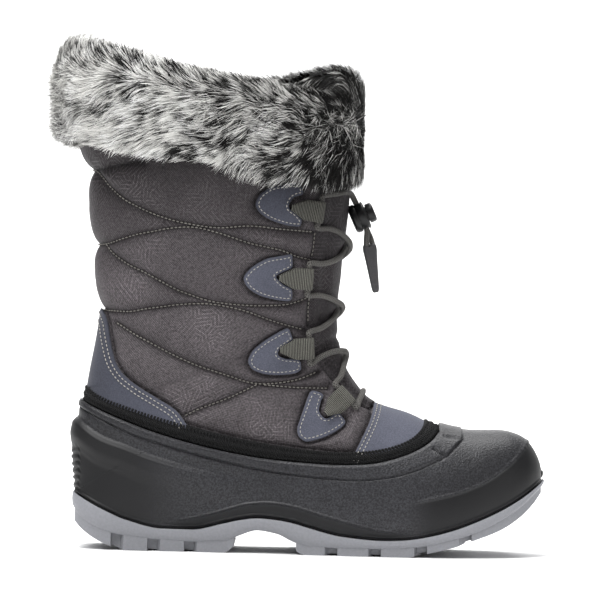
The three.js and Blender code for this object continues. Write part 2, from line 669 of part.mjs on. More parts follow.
// A loop's own frame: X along the tape to the bar, Y out of the upper, Z along the cord.
const loopFrame = ({ x, z, turn }, side) => frameAt(x, z, turn, side, upperFace);
const LOOP_RISE = GAP + TAPE_THICK + LOOP_BORE; // of the cord above the upper

function webbingLoop(loop, side) {
  const outer = LOOP_BORE + TAPE_THICK;
  const outline = new THREE.Shape();
  outline.moveTo(-LOOP_TAIL, LOOP_RISE - outer);
  outline.lineTo(0, LOOP_RISE - outer);
  outline.absarc(0, LOOP_RISE, outer, -Math.PI / 2, Math.PI / 2, false);
  outline.lineTo(-outer, LOOP_RISE + outer * 0.8);
  outline.lineTo(-outer * 2.2, LOOP_RISE - outer + 2 * TAPE_THICK);
  outline.lineTo(-LOOP_TAIL, LOOP_RISE - outer + 2 * TAPE_THICK);
  outline.holes.push(new THREE.Path().absarc(0, LOOP_RISE, LOOP_BORE, 0, 2 * Math.PI, false));
  const extrusion = { depth: LOOP_WIDTH, bevelEnabled: false, curveSegments: 6 };
  const geometry = new THREE.ExtrudeGeometry(outline, extrusion);
  geometry.translate(0, 0, -LOOP_WIDTH / 2).applyMatrix4(loopFrame(loop, side));
  return solidFrom(geometry);
}

// The two ends of a loop's bore: the one nearer the collar, or the one nearer the toe.
function boreEnd(loop, side, upwards, reach) {
  const frame = loopFrame(loop, side);
  const way = new THREE.Vector3().setFromMatrixColumn(frame, 2).z > 0 ? 1 : -1;
  return new THREE.Vector3(0, LOOP_RISE, (upwards ? way : -way) * reach).applyMatrix4(frame);
}

const LACE_CLEAR = CORD_RADIUS + 0.5; // of the cord's middle from the tongue
const LEAD = 2.5; // how far a strand leaves its loop straight

// A strand from one loop round the front to a loop on the other side.
function strand(from, to) {
  const leaving = ({ loop, side, upwards }) =>
    [0, LEAD].map((on) => boreEnd(loop, side, upwards, LOOP_REACH + on));
  const [start, afterStart] = leaving(from);
  const [end, beforeEnd] = leaving(to);
  const face = form(LACE_CLEAR);
  const a = placeAt(afterStart.x, afterStart.z, face);
  const b = placeAt(beforeEnd.x, beforeEnd.z, face);
  const middle = range(0, 1, 6).slice(1, -1).map((share) => {
    const signed = THREE.MathUtils.lerp(a.turn * from.side, b.turn * to.side, share);
    const eased = THREE.MathUtils.smoothstep(share, 0.05, 0.95);
    const station = THREE.MathUtils.lerp(a.station, b.station, eased);
    return surfacePoint(station, Math.abs(signed), signed < 0 ? LATERAL : MEDIAL, face);
  });
  return tube([start, afterStart, ...middle, beforeEnd, end], CORD_RADIUS, 3);
}

function laceCross(lower, higher) {
  const pair = [LATERAL, MEDIAL].map((side) =>
    strand({ loop: lower, side, upwards: true }, { loop: higher, side: -side, upwards: false }),
  );
  return pair[0].add(pair[1]);
}

const laceBar = () =>
  strand({ loop: LOOPS[0], side: LATERAL, upwards: false }, { loop: LOOPS[0], side: MEDIAL, upwards: false });

function laceEnd(side) {
  const leaving = [0, LEAD].map((on) => boreEnd(LOOPS.at(-1), side, true, LOOP_REACH + on));
  const route = LACE_END_ROUTE.map(({ x, y, z, fan }) => new THREE.Vector3(x + side * fan, -side * y, z));
  return tube([...leaving, ...route], CORD_RADIUS, 3);
}

// ---------------------------------------------------------------- cord lock and pull tab

// Turned about the barrel's axis with its open face forwards, then tilted and set in place.
function placeLock(geometry) {
  geometry.rotateZ(-Math.PI / 2);
  geometry.rotateY(-THREE.MathUtils.degToRad(LOCK.tilt));
  return solidFrom(geometry.translate(LOCK.centre.x, LOCK.centre.y, LOCK.centre.z));
}

function turned(profile) {
  return placeLock(new THREE.LatheGeometry(profile.map(([r, h]) => new THREE.Vector2(r, h)), 20));
}

// The cords' way through the lock, square to its axis, between two heights on that axis.
function cordSlot(from, to) {
  const geometry = new THREE.BoxGeometry(LOCK.slotWide, to - from, 3 * LOCK.radius);
  return placeLock(geometry.translate(0, (from + to) / 2, 0));
}

// Heights on the lock's axis. The button stands out as far as its spring pushes it.
const BARREL_FOOT = -LOCK.length / 2;
const BARREL_HEAD = LOCK.length / 2;
const BUTTON_FOOT = BARREL_FOOT + LOCK.floor + GAP + LOCK.travel;
const SLOT_FOOT = BUTTON_FOOT + LOCK.buttonFoot;

function lockBarrel() {
  const body = turned([
    [0, BARREL_FOOT], [LOCK.radius - 1.5, BARREL_FOOT], [LOCK.radius, BARREL_FOOT + 1.5],
    [LOCK.radius, BARREL_HEAD - 1], [LOCK.radius - 1, BARREL_HEAD], [LOCK.boreRadius, BARREL_HEAD],
    [LOCK.boreRadius, BARREL_FOOT + LOCK.floor], [0, BARREL_FOOT + LOCK.floor],
  ]);
  return body.subtract(cordSlot(SLOT_FOOT, SLOT_FOOT + LOCK.slotLong));
}

function lockButton() {
  const head = BARREL_HEAD + LOCK.buttonOut;
  const body = turned([
    [0, BUTTON_FOOT], [LOCK.buttonRadius, BUTTON_FOOT], [LOCK.buttonRadius, head - 1.2],
    [LOCK.buttonRadius - 1.2, head], [0, head],
  ]);
  return body.subtract(cordSlot(SLOT_FOOT, SLOT_FOOT + LOCK.slotLong + LOCK.travel));
}

function pullTab() {
  const [topX, topZ] = PULL_TAB.top;
  const [footX, footZ] = PULL_TAB.bottom;
  const length = Math.hypot(footX - topX, footZ - topZ);
  const rows = [
    { down: 0, size: 0.8 }, { down: 2, size: 1 }, { down: 7, size: 0.95 }, { down: length - 2, size: 0.6 },
    { down: length, size: 0.45 },
  ];
  const rings = rows.map(({ down, size }) => {
    const wide = Math.max(PULL_TAB.wide * size, PULL_TAB.narrow) / 2;
    const thick = (PULL_TAB.thick * (0.5 + size / 2)) / 2;
    return range(0, 2 * Math.PI, 12).slice(0, -1).map(
      (angle) => new THREE.Vector3(wide * Math.cos(angle), thick * Math.sin(angle), -down),
    );
  });
  const lean = new THREE.Matrix4().makeRotationY(Math.atan2(-(footX - topX), topZ - footZ));
  const place = new THREE.Matrix4().setPosition(topX, 0, topZ).multiply(lean);
  rings.flat().forEach((p) => p.applyMatrix4(place));
  return loft(rings);
}

// ---------------------------------------------------------------- the boot

const boot = new THREE.Group();
boot.name = "snow_boot";

const FINISH = {
  soleRubber: { color: 0x9d9fa6, roughness: 0.62, metalness: 0 },
  shellRubber: { color: 0x26262a, roughness: 0.55, metalness: 0 },
  quilted: { color: 0x4d484b, roughness: 0.8, metalness: 0 },
  leather: { color: 0x5a5c6b, roughness: 0.7, metalness: 0 },
  gimp: { color: 0x141414, roughness: 0.85, metalness: 0 },
  fur: { color: 0x8d8b86, roughness: 0.95, metalness: 0 },
  felt: { color: 0x2c2c2e, roughness: 0.95, metalness: 0 },
  tape: { color: 0x5c5d55, roughness: 0.8, metalness: 0 },
  cord: { color: 0x55534f, roughness: 0.75, metalness: 0 },
  plastic: { color: 0x121214, roughness: 0.3, metalness: 0 },
};

function addPiece(name, solid, finish) {
  if (solid.volume() < 0) throw new Error(name + " is inside out");
  const mesh = new THREE.Mesh(geometryFrom(solid), new THREE.MeshStandardMaterial(FINISH[finish]));
  mesh.name = name;
  boot.add(mesh);
}

addPiece("outsole", outsole(), "soleRubber");
addPiece("rubber_shell", rubberShell(), "shellRubber");
addPiece("insole", insole(), "felt");
addPiece("upper", upper(), "quilted");
addPiece("tongue", tongue(), "quilted");
addPiece("binding", binding(), "gimp");
addPiece("heel_counter", heelCounter(), "leather");
addPiece("toe_overlay", toeOverlay(), "leather");
addPiece("fur_cuff", furCuff(), "fur");

LOOPS.forEach((loop, i) => {
  addPiece(`webbing_loop_lateral_${i + 1}`, webbingLoop(loop, LATERAL), "tape");
  addPiece(`webbing_loop_medial_${i + 1}`, webbingLoop(loop, MEDIAL), "tape");
});
addPiece("lace_bar", laceBar(), "cord");
LOOPS.slice(1).forEach((loop, i) => addPiece(`lace_cross_${i + 1}`, laceCross(LOOPS[i], loop), "cord"));
addPiece("lace_end_lateral", laceEnd(LATERAL), "cord");
addPiece("lace_end_medial", laceEnd(MEDIAL), "cord");
addPiece("cord_lock_barrel", lockBarrel(), "plastic");
addPiece("cord_lock_button", lockButton(), "plastic");
addPiece("pull_tab", pullTab(), "plastic");

export default boot;
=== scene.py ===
import math
from collections import namedtuple

import bmesh
import bpy
import numpy as np
from bpy.props import FloatProperty, FloatVectorProperty, IntProperty, PointerProperty
from mathutils import Matrix, Vector
from mathutils.kdtree import KDTree


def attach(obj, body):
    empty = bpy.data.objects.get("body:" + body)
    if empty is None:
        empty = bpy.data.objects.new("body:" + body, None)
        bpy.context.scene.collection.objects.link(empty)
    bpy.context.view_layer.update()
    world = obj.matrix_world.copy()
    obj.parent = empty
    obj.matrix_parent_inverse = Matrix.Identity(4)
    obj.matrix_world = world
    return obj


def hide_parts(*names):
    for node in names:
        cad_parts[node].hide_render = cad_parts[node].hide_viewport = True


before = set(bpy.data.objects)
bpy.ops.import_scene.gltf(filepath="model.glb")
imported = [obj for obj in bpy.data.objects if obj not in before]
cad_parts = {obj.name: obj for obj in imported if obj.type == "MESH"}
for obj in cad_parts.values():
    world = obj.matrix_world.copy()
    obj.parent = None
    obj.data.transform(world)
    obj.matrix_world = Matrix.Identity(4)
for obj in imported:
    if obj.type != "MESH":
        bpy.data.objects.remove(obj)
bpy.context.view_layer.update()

bl_info = {
    "name": "Snow boot",
    "version": (1, 0, 0),
    "blender": (4, 5, 0),
    "location": "3D View > Sidebar > Boot",
    "description": "Quilting, fur, moulded rubber and lacing for a winter boot, built round its solids",
    "category": "Add Mesh",
}

# Lengths here are millimetres until a mesh is written, which is in metres.
MM = 0.001
OUTER, INNER = SIDES = -1, 1  # the boot's outer side is -Y
PIVOT_X, PIVOT_Z = 70.0, 160.0
TOE_REACH = 80.6
SHELL_WALL, GAP = 3.0, 0.3
SHELL_FACE = SHELL_WALL + GAP


def table(fields, *rows):
    """Rows of numbers whose columns have names."""
    row = namedtuple("Row", fields)
    return [row(*values) for values in rows]


# ---------------------------------------------------------------- the last

FRONT_PROFILE = [
    (150.6, 49.5), (148.2, 57.5), (141.5, 68), (130, 73.5), (104, 74.2), (88, 77.4), (70, 85.4), (47, 92.8),
    (36, 103), (27, 118.5), (22.5, 147), (26, 187), (30, 232), (31, 330),
]
FOOTBED_PROFILE = [
    (150.6, 49.5), (136, 38.5), (118, 28.5), (88, 18.5), (55, 15.5), (20, 18.8), (-20, 25.5),
    (-70, 26.5), (-108, 27), (-126, 32.5), (-131, 45), (-131.4, 70), (-127.5, 104), (-121.5, 147),
    (-126, 187), (-130, 231), (-137, 258), (-139, 330),
]
SHELL_PROFILE = [
    (150.6, 49.5), (149.6, 40), (136, 27), (100, 9), (55, 1.5), (10, 8), (-20, 12), (-70, 5), (-112, 5),
    (-132, 14), (-136, 40), (-137.8, 64), (-133.4, 90), (-128, 160), (-135, 330),
]

# Half widths near the front (fore) and back (aft) of each section, on the outer and inner side.
SECTIONS = table(
    "at fore_out fore_in aft_out aft_in fore_full aft_full lean",
    (-80.4, 1.5, 1.5, 1.5, 1.5, 0.7, 0.7, 6),
    (-79, 10, 9, 11, 10, 0.7, 0.6, 6),
    (-76, 17, 15, 19, 17, 0.7, 0.5, 5.8),
    (-70, 24, 22, 28, 25, 0.7, 0.4, 5.4),
    (-58, 31, 29, 37, 34, 0.68, 0.3, 4.6),
    (-40, 36, 35, 43.5, 41.5, 0.68, 0.25, 3.2),
    (-20, 37, 36, 47.5, 44.5, 0.74, 0.22, 1.8),
    (0, 35, 34, 48.5, 44.5, 0.84, 0.22, 0.8),
    (15, 33, 32, 46, 41, 0.9, 0.22, 0),
    (30, 33, 32, 40.5, 34, 0.95, 0.22, 0),
    (42, 34, 33.5, 37, 33.5, 0.95, 0.24, 0),
    (52, 36, 36, 36.5, 35.5, 0.95, 0.3, 0),
    (60, 38, 38, 36.5, 36, 0.95, 0.42, 0),
    (75, 40, 40, 38, 38, 0.95, 0.6, 0),
    (90, 43, 43, 42.5, 42.5, 0.92, 0.75, 0),
    (120, 46, 46, 46, 46, 0.9, 0.8, 0),
    (175, 50, 50, 51, 51, 0.86, 0.82, 0),
    (260, 52, 52, 54, 54, 0.84, 0.84, 0),
)

SOLE_SIDE = table(
    "at top ledge tread",
    (-150, 42, 36, 27), (-136, 34.5, 25.5, 18.2), (-130, 31.2, 19, 12.5),
    (-120, 26, 13.2, 6), (-112, 22.4, 10.7, 2.6), (-104, 19.1, 9.2, 0),
    (-80, 13.8, 6.9, 0), (-62, 13.6, 6.2, 0), (-42, 17.9, 7, 0),
    (-33, 20, 10.6, 6.5), (-22, 21.4, 14, 9.4), (-10, 20.6, 12.2, 7.8),
    (0, 18.9, 7.8, 3.2), (8, 16.7, 5.4, 0), (30, 11.6, 4.6, 0),
    (55, 9.8, 4.8, 0), (68, 10.4, 5.4, 0), (82, 12.6, 7.2, 2.7),
    (98, 16.9, 11, 6.6), (112, 22.2, 15.6, 11.5), (126, 28.6, 22.4, 17),
    (138, 35.4, 30, 24.5), (147, 41.6, 37.8, 33), (154, 47, 44.2, 41.6),
    (165, 56, 53.4, 51),
)

# Along the joint of shell and upper, from the heel to the top of the toes.
LAP_EDGE = [
    (-150, 90), (-134, 82), (-120, 76), (-100, 68), (-80, 61), (-50, 53), (-20, 48), (10, 45.4), (35, 45),
    (60, 48.5), (78, 56), (89, 65), (96, 78), (97, 88), (97, 100),
]
BINDING_LOW = [
    (-150, 100), (-133, 91.5), (-120, 85.4), (-100, 77.6), (-80, 71), (-50, 63.5), (-20, 58.4), (10, 56),
    (30, 55.5), (50, 57), (68, 62.2), (80, 68.2), (87, 74.5), (89, 80), (89, 95),
]
BINDING_HIGH = [
    (-150, 112), (-131, 102), (-120, 94.5), (-100, 87.5), (-80, 81.5), (-50, 73.5), (-20, 67.6), (10, 64),
    (30, 63), (48, 64.4), (62, 67.6), (72, 72.6), (77.5, 78.5), (79, 84), (79, 95),
]
COUNTER_EDGE = [
    (-150, 150), (-121, 147), (-117, 140), (-114.5, 128), (-111, 115), (-106, 107.5), (-97, 100.5),
    (-85, 93.5), (-73, 86), (-66, 77),
]
UNDER_BINDING = -2.5  # how far overlays run down under the binding
TOE_OVERLAY_EDGE = [(34, 58), (41.5, 73), (45.5, 82), (48, 92), (48, 100)]
THROAT_EDGE = [
    (46, 90), (38, 94), (28, 102.5), (19, 112), (12.5, 125), (10, 145), (10, 172), (12, 200), (15, 230),
    (19, 330),
]
COLLAR_EDGE = [(-160, 300), (-60, 287), (60, 276)]

CUFF = table(
    "at top foot thick",
    (0, 293, 233, 7), (30, 284, 225, 9), (55, 286, 226, 11),
    (90, 295, 235, 12.5), (130, 306, 243, 13.5), (160, 313, 248, 14.5),
    (180, 314.5, 249, 15), (200, 312, 248, 14.5), (240, 301, 242, 13.5),
    (280, 294, 235, 12), (320, 297, 228, 10), (345, 298, 229, 8),
    (360, 293, 233, 7),
)

# Webbing loops up one side of the throat: the bar's place in the side view and the way the tape points.
LOOPS = table("x z turn", (28.6, 95.4, 42), (5.6, 125.8, 5), (4, 168.5, 0), (9.8, 209.6, -7))
LOOP_RISE = 3.7  # of the cord above the upper, in a loop
LOOP_REACH = 7.0
TAPE_HALF = ([-19, -9, 0], [1.6, 6.4, 6.6])  # half the tape's width along it

# ---------------------------------------------------------------- numbers and lines


def smooth_line(points, steps=8):
    """A smooth line through points, centripetal, with each span cut into steps."""
    p = np.asarray(points, float)
    p = np.vstack([2 * p[0] - p[1], p, 2 * p[-1] - p[-2]])
    gap = np.maximum(np.linalg.norm(np.diff(p, axis=0), axis=1) ** 0.5, 1e-6)
    f = (np.arange(steps) / steps)[:, None]
    spans = []
    for i in range(1, len(p) - 2):
        a, b, c, d = p[i - 1 : i + 3]
        g0, g1, g2 = gap[i - 1 : i + 2]
        start = ((b - a) / g0 - (c - a) / (g0 + g1) + (c - b) / g1) * g1
        end = ((c - b) / g1 - (d - b) / (g1 + g2) + (d - c) / g2) * g1
        square = 3 * (c - b) - 2 * start - end
        cube = 2 * (b - c) + start + end
        spans.append(b + f * start + f**2 * square + f**3 * cube)
    return np.vstack([*spans, p[-2][None]])


def lengths(path):
    """How far along a path each of its points is."""
    return np.concatenate([[0], np.cumsum(np.linalg.norm(np.diff(path, axis=0), axis=1))])


def row_lengths(points):
    """How far along its row each point of a sheet is."""
    steps = np.linalg.norm(np.diff(points, axis=1), axis=2)
    return np.concatenate([np.zeros((len(points), 1)), np.cumsum(steps, axis=1)], axis=1)


def sample(values, along, at):
    """Rows of values, known at the places along, read at other places."""
    return np.column_stack([np.interp(at, along, v) for v in values.T])


def cut_evenly(path, count):
    """The same path with its points evenly apart."""
    along = lengths(path)
    return sample(path, along, np.linspace(0, along[-1], count))


def even_line(points, step):
    """The same line with its points a step apart."""
    p = np.asarray(points, float)
    return cut_evenly(p, max(2, int(round(lengths(p)[-1] / step)) + 1))


def unit_rows(v):
    return v / np.maximum(np.linalg.norm(v, axis=-1), 1e-9)[..., None]


def raised_line(line, by):
    """A line of the side view moved up by some millimetres."""
    return np.asarray(line, float) + [0, by]


def smoothstep(low, high, x):
    f = np.clip((np.asarray(x, float) - low) / (high - low), 0, 1)
    return f * f * (3 - 2 * f)


def column(rows, name, at):
    """A smooth column of a table: cubic between rows and flat where the column turns."""
    x = np.array([row.at for row in rows], float)
    y = np.array([getattr(row, name) for row in rows], float)
    slope = np.diff(y) / np.diff(x)
    before = np.concatenate([slope[:1], slope])
    after = np.concatenate([slope, slope[-1:]])
    same = before * after > 0
    tangent = np.where(same, 2 * before * after / np.where(same, before + after, 1), 0)
    at = np.clip(at, x[0], x[-1])
    i = np.clip(np.searchsorted(x, at, side="right") - 1, 0, len(x) - 2)
    span = x[i + 1] - x[i]
    f = (at - x[i]) / span
    return (
        y[i] * (1 + 2 * f) * (1 - f) ** 2
        + tangent[i] * span * f * (1 - f) ** 2
        + y[i + 1] * (3 - 2 * f) * f**2
        + tangent[i + 1] * span * (f - 1) * f**2
    )


def ends_dense(count, power=4):
    """Shares from 0 to 1 that crowd towards both ends."""
    u = np.linspace(0, 1, count)
    return u**power / (u**power + (1 - u) ** power)


def lattice(points, size, seed):
    """Smooth noise from -1 to 1, with cells of a size, the same in every run."""
    p = np.asarray(points, float) / size
    cell = np.floor(p).astype(np.int64)
    f = p - cell
    f = f * f * (3 - 2 * f)
    total = np.zeros(p.shape[:-1])
    for corner in np.ndindex(*(2,) * p.shape[-1]):
        weight = np.ones(p.shape[:-1])
        key = np.full(p.shape[:-1], seed * 1013 + 7, np.int64)
        for k, c in enumerate(corner):
            weight = weight * (f[..., k] if c else 1 - f[..., k])
            key = (key * 6364136223846793005 + (cell[..., k] + c) * 1442695040888963407) & 0x7FFFFFFFFFFF
        key = (key ^ (key >> 17)) * 668265263 & 0x7FFFFFFFFFFF
        total += weight * ((key >> 11) % 65536 / 32767.5 - 1)
    return total


# ---------------------------------------------------------------- the boot's form


def station_of(x, z, grow=0.0):
    """Which cutting plane a point of the side view is in: upright ahead of the pivot, fanned, then level."""
    fan = np.degrees(np.arctan2(PIVOT_X - x, PIVOT_Z - z))
    ahead = (PIVOT_X - x) / (1 + grow / TOE_REACH)
    return np.where(x >= PIVOT_X, ahead, np.where(z >= PIVOT_Z, level(z), fan))


def level(z):
    """The station of the level cutting plane at a height above the pivot."""
    return 90 + z - PIVOT_Z


def reach_of(x, z):
    """How far from the pivot's line a point is, in its cutting plane."""
    slant = np.hypot(PIVOT_X - x, PIVOT_Z - z)
    return np.where(x >= PIVOT_X, PIVOT_Z - z, np.where(z >= PIVOT_Z, PIVOT_X - x, slant))


def reach_table(line, grow=0.0):
    x, z = smooth_line(line, 40).T
    station, reach = station_of(x, z, grow), reach_of(x, z)
    onwards = np.maximum if station[-1] > station[0] else np.minimum
    station = onwards.accumulate(station)
    order = np.argsort(station, kind="stable")
    return station[order], reach[order]


FRONT = reach_table(FRONT_PROFILE)
FOOTBED = reach_table(FOOTBED_PROFILE)
SHELL_BACK = reach_table(SHELL_PROFILE)
DENSE = np.concatenate([np.linspace(-80.6, -60, 400), np.linspace(-59.9, 270, 1400)])
WIDTHS = {name: column(SECTIONS, name, DENSE) for name in SECTIONS[0]._fields[1:]}


def ends(station, grow, shell):
    front = np.interp(station, *FRONT) - grow
    if shell:
        return front, np.interp(station, *SHELL_BACK) + grow - SHELL_FACE
    return front, np.interp(station, *FOOTBED) + grow


def surface(station, turn, grow=0.0, shell=False):
    """Points of the form. turn is 0 at the front and pi at the back, and negative on the outer side."""
    station, turn, grow = np.broadcast_arrays(*(np.asarray(v, float) for v in (station, turn, grow)))
    front, back = ends(station, grow, shell)
    share = (1 - np.cos(turn)) / 2
    reach = front + (back - front) * share
    ease = share * share * (3 - 2 * share)
    wide = {name: np.interp(station, DENSE, values) for name, values in WIDTHS.items()}
    fore = np.where(turn < 0, wide["fore_out"], wide["fore_in"])
    aft = np.where(turn < 0, wide["aft_out"], wide["aft_in"])
    full = np.where(np.abs(turn) < math.pi / 2, wide["fore_full"], wide["aft_full"])
    sine = np.abs(np.sin(turn))
    half = np.maximum(fore + (aft - fore) * ease + grow, 0.5) * np.where(sine < 1e-9, 0, sine) ** full
    fan = np.radians(np.clip(station, 0, 90))
    x0 = PIVOT_X - np.minimum(station, 0) * (1 + grow / TOE_REACH)
    z0 = PIVOT_Z + np.maximum(station - 90, 0)
    y = wide["lean"] + np.sign(turn) * half
    return np.stack([x0 - np.sin(fan) * reach, y, z0 - np.cos(fan) * reach], -1)


def place(x, z, grow=0.0, shell=False, clip=True):
    """The station and turn at which the form is seen at (x, z) from the side."""
    station = station_of(x, z, grow)
    front, back = ends(station, grow, shell)
    share = (reach_of(x, z) - front) / (back - front)
    if not clip:
        return station, share
    return station, np.arccos(1 - 2 * np.clip(share, 0, 1))


def on_form(x, z, side, grow=0.0, shell=False):
    """Points of the side view laid on one side of the form."""
    station, turn = place(np.asarray(x, float), np.asarray(z, float), grow, shell)
    return surface(station, side * turn, grow, shell)


def turn_at(station, line, grow=0.0, shell=False):
    """The turn at which each station crosses a line of the side view."""
    reach = np.interp(station, *reach_table(line, grow))
    front, back = ends(station, grow, shell)
    return np.arccos(1 - 2 * np.clip((reach - front) / (back - front), 0, 1))


def even_stations(first, last, step, grow=0.0, shell=False):
    """Stations about a step apart where they spread the most."""
    dense = first + (last - first) * np.linspace(0, 1, 3000) ** 3
    apart = 0
    for turn in (0, math.pi / 2, math.pi):
        path = surface(dense, turn, grow, shell)
        apart = np.maximum(apart, np.linalg.norm(np.diff(path, axis=0), axis=1))
    along = np.concatenate([[0], np.cumsum(apart)])
    return np.interp(np.linspace(0, along[-1], int(along[-1] / step) + 2), along, dense)


def even_turns(station, low, high, columns, grow=0.0, shell=False, crowd=0.0):
    """Turns from low to high in each station, evenly spaced on the surface or crowded towards both ends."""
    turn = low[:, None] + (high - low)[:, None] * ends_dense(600)
    along = row_lengths(surface(station[:, None], turn, grow, shell))
    shares = np.linspace(0, 1, columns)
    shares = shares - crowd * np.sin(2 * math.pi * shares) / (2 * math.pi)
    return np.array([np.interp(shares * a[-1], a, t) for a, t in zip(along, turn)])


def wrap(line, side, step, grow=0.0, shell=False, count=None):
    """A line of the side view laid on one side of the form, no further than the boot's middle."""
    line = even_line(smooth_line(line, 12), 0.2)
    share = place(line[:, 0], line[:, 1], grow, shell, clip=False)[1]
    seen = np.flatnonzero((share > 0) & (share < 1))
    first, last = float(seen[0]), float(seen[-1])
    if seen[0] > 0:
        a, b = share[seen[0] - 1], share[seen[0]]
        first -= abs(b - round(a)) / abs(b - a)
    if seen[-1] < len(line) - 1:
        a, b = share[seen[-1]], share[seen[-1] + 1]
        last += abs(round(b) - a) / abs(b - a)
    at = first + (last - first) * ends_dense(2400, 6)
    x, z = sample(line, np.arange(len(line)), at).T
    path = on_form(x, z, side, grow, shell)
    if count is None:
        return even_line(path, step)
    return cut_evenly(path, count)


# ---------------------------------------------------------------- mesh work


def read_points(mesh):
    flat = np.empty(len(mesh.vertices) * 3)
    mesh.vertices.foreach_get("co", flat)
    return flat.reshape(-1, 3) / MM


def write_points(mesh, points):
    mesh.vertices.foreach_set("co", (np.asarray(points) * MM).ravel())
    mesh.update()


def read_normals(mesh):
    flat = np.empty(len(mesh.vertices) * 3)
    mesh.vertex_normals.foreach_get("vector", flat)
    return flat.reshape(-1, 3)


def push_out(mesh, heights):
    """Moves every point of a mesh along its normal."""
    write_points(mesh, read_points(mesh) + read_normals(mesh) * heights[:, None])


def set_uv(mesh, uv):
    """One UV for each vertex, given in metres along the surface."""
    corner = np.empty(len(mesh.loops), np.int32)
    mesh.loops.foreach_get("vertex_index", corner)
    layer = mesh.uv_layers.get("UVMap") or mesh.uv_layers.new(name="UVMap")
    layer.data.foreach_set("uv", np.asarray(uv)[corner].ravel())


def set_value(mesh, name, values):
    attribute = mesh.attributes.get(name) or mesh.attributes.new(name, "FLOAT", "POINT")
    attribute.data.foreach_set("value", np.asarray(values, np.float32))


def mesh_from(bm, outwards=False):
    """Writes a bmesh to a new mesh and frees it, with its faces turned outwards if asked."""
    if outwards:
        bmesh.ops.recalc_face_normals(bm, faces=bm.faces)
    mesh = bpy.data.meshes.new("part")
    bm.to_mesh(mesh)
    bm.free()
    return mesh


def wire(points):
    """A bmesh of one open line."""
    bm = bmesh.new()
    verts = [bm.verts.new(p) for p in points]
    return bm, verts, [bm.edges.new(pair) for pair in zip(verts, verts[1:])]


def gathered(meshes):
    """A bmesh that holds what some meshes held. The meshes are used up."""
    bm = bmesh.new()
    for mesh in meshes:
        bm.from_mesh(mesh)
        bpy.data.meshes.remove(mesh)
    return bm


def sheet_normals(points):
    """The normals of a sheet, from its rows and columns of points."""
    return unit_rows(np.cross(np.gradient(points, axis=0), np.gradient(points, axis=1)))


def pinched(ring):
    """A tube of rings with its first and last ring pressed flat."""
    for end in (0, -1):
        ring[end] = (ring[end] + ring[end, ::-1]) / 2
    return ring


def sheet(points, uv=None):
    """A mesh sheet through rows of points."""
    rows, columns = points.shape[:2]
    bm = bmesh.new()
    bmesh.ops.create_grid(bm, x_segments=columns - 1, y_segments=rows - 1, size=1)
    mesh = mesh_from(bm)
    write_points(mesh, points.reshape(-1, 3))
    if uv is not None:
        set_uv(mesh, uv.reshape(-1, 2) * MM)
    return mesh


def join(meshes, weld=0.004):
    """Several meshes as one, with the points that coincide welded."""
    bm = gathered(meshes)
    bmesh.ops.remove_doubles(bm, verts=bm.verts, dist=weld * MM)
    bmesh.ops.dissolve_degenerate(bm, dist=weld * MM / 2, edges=bm.edges)
    return mesh_from(bm)


def extruded(bm):
    """Extrudes all faces and gives back the new points."""
    made = bmesh.ops.extrude_face_region(bm, geom=bm.faces[:])["geom"]
    return {v for v in made if isinstance(v, bmesh.types.BMVert)}


def slice_at(bm, place_at, normal, **more):
    """Cuts every face where a plane crosses it."""
    geometry = bm.verts[:] + bm.edges[:] + bm.faces[:]
    bmesh.ops.bisect_plane(bm, geom=geometry, plane_co=place_at, plane_no=normal, **more)


def round_edges(bm, edges, by, segments):
    bmesh.ops.bevel(
        bm, geom=edges, offset=by * MM, offset_type="OFFSET", segments=segments, profile=0.5,
        affect="EDGES", material=-1, clamp_overlap=True,
    )


def rims(bm):
    """The open edges, loop by loop."""
    loose = {e for e in bm.edges if len(e.link_faces) == 1}
    found = []
    while loose:
        loop, front = [], [loose.pop()]
        while front:
            edge = front.pop()
            loop.append(edge)
            near = [e for v in edge.verts for e in v.link_edges if e in loose]
            loose.difference_update(near)
            front.extend(near)
        found.append(loop)
    return found


def centre_of(loop):
    points = [v.co for e in loop for v in e.verts]
    return sum(points, Vector()) / len(points)


def fill_small(bm, loops, short=30.0):
    """Closes the short holes and gives back the long rims."""
    small = [loop for loop in loops if sum(e.calc_length() for e in loop) < short * MM]
    for loop in small:
        bmesh.ops.holes_fill(bm, edges=loop, sides=0)
    return [loop for loop in loops if loop not in small]


def wall(face, back):
    """A face sheet and a coarser back sheet as one closed wall, their open edges bridged."""
    bm = gathered([face])
    outer = fill_small(bm, rims(bm))
    known = set(bm.edges)
    bm.from_mesh(back)
    inner = [loop for loop in rims(bm) if loop[0] not in known]
    for loop in outer:
        middle = centre_of(loop)
        near = min(inner, key=lambda rim: (centre_of(rim) - middle).length + abs(len(rim) - len(loop)) * 1e-5)
        inner.remove(near)
        bmesh.ops.bridge_loops(bm, edges=loop + near)
    bpy.data.meshes.remove(back)
    return mesh_from(bm, outwards=True)


def face_out(mesh):
    bm = bmesh.new()
    bm.from_mesh(mesh)
    bmesh.ops.recalc_face_normals(bm, faces=bm.faces)
    bm.to_mesh(mesh)
    bm.free()
    return mesh


def repeated(points, faces):
    """One mesh of many like pieces, from each piece's points and the corners of one piece's faces."""
    count, each = points.shape[:2]
    corners = np.concatenate(faces)
    starts = np.cumsum([0] + [len(face) for face in faces[:-1]])
    mesh = bpy.data.meshes.new("repeated")
    mesh.vertices.add(count * each)
    mesh.loops.add(count * len(corners))
    mesh.polygons.add(count * len(faces))
    mesh.vertices.foreach_set("co", (points * MM).ravel())
    nth = np.arange(count)[:, None]
    mesh.loops.foreach_set("vertex_index", (corners + nth * each).ravel().astype(np.int32))
    mesh.polygons.foreach_set("loop_start", (starts + nth * len(corners)).ravel().astype(np.int32))
    mesh.update(calc_edges=True)
    return mesh


def uv_grid(along, across):
    """UVs of a sheet whose rows and columns each share one number."""
    return np.stack(np.broadcast_arrays(along[:, None], across[None]), -1)


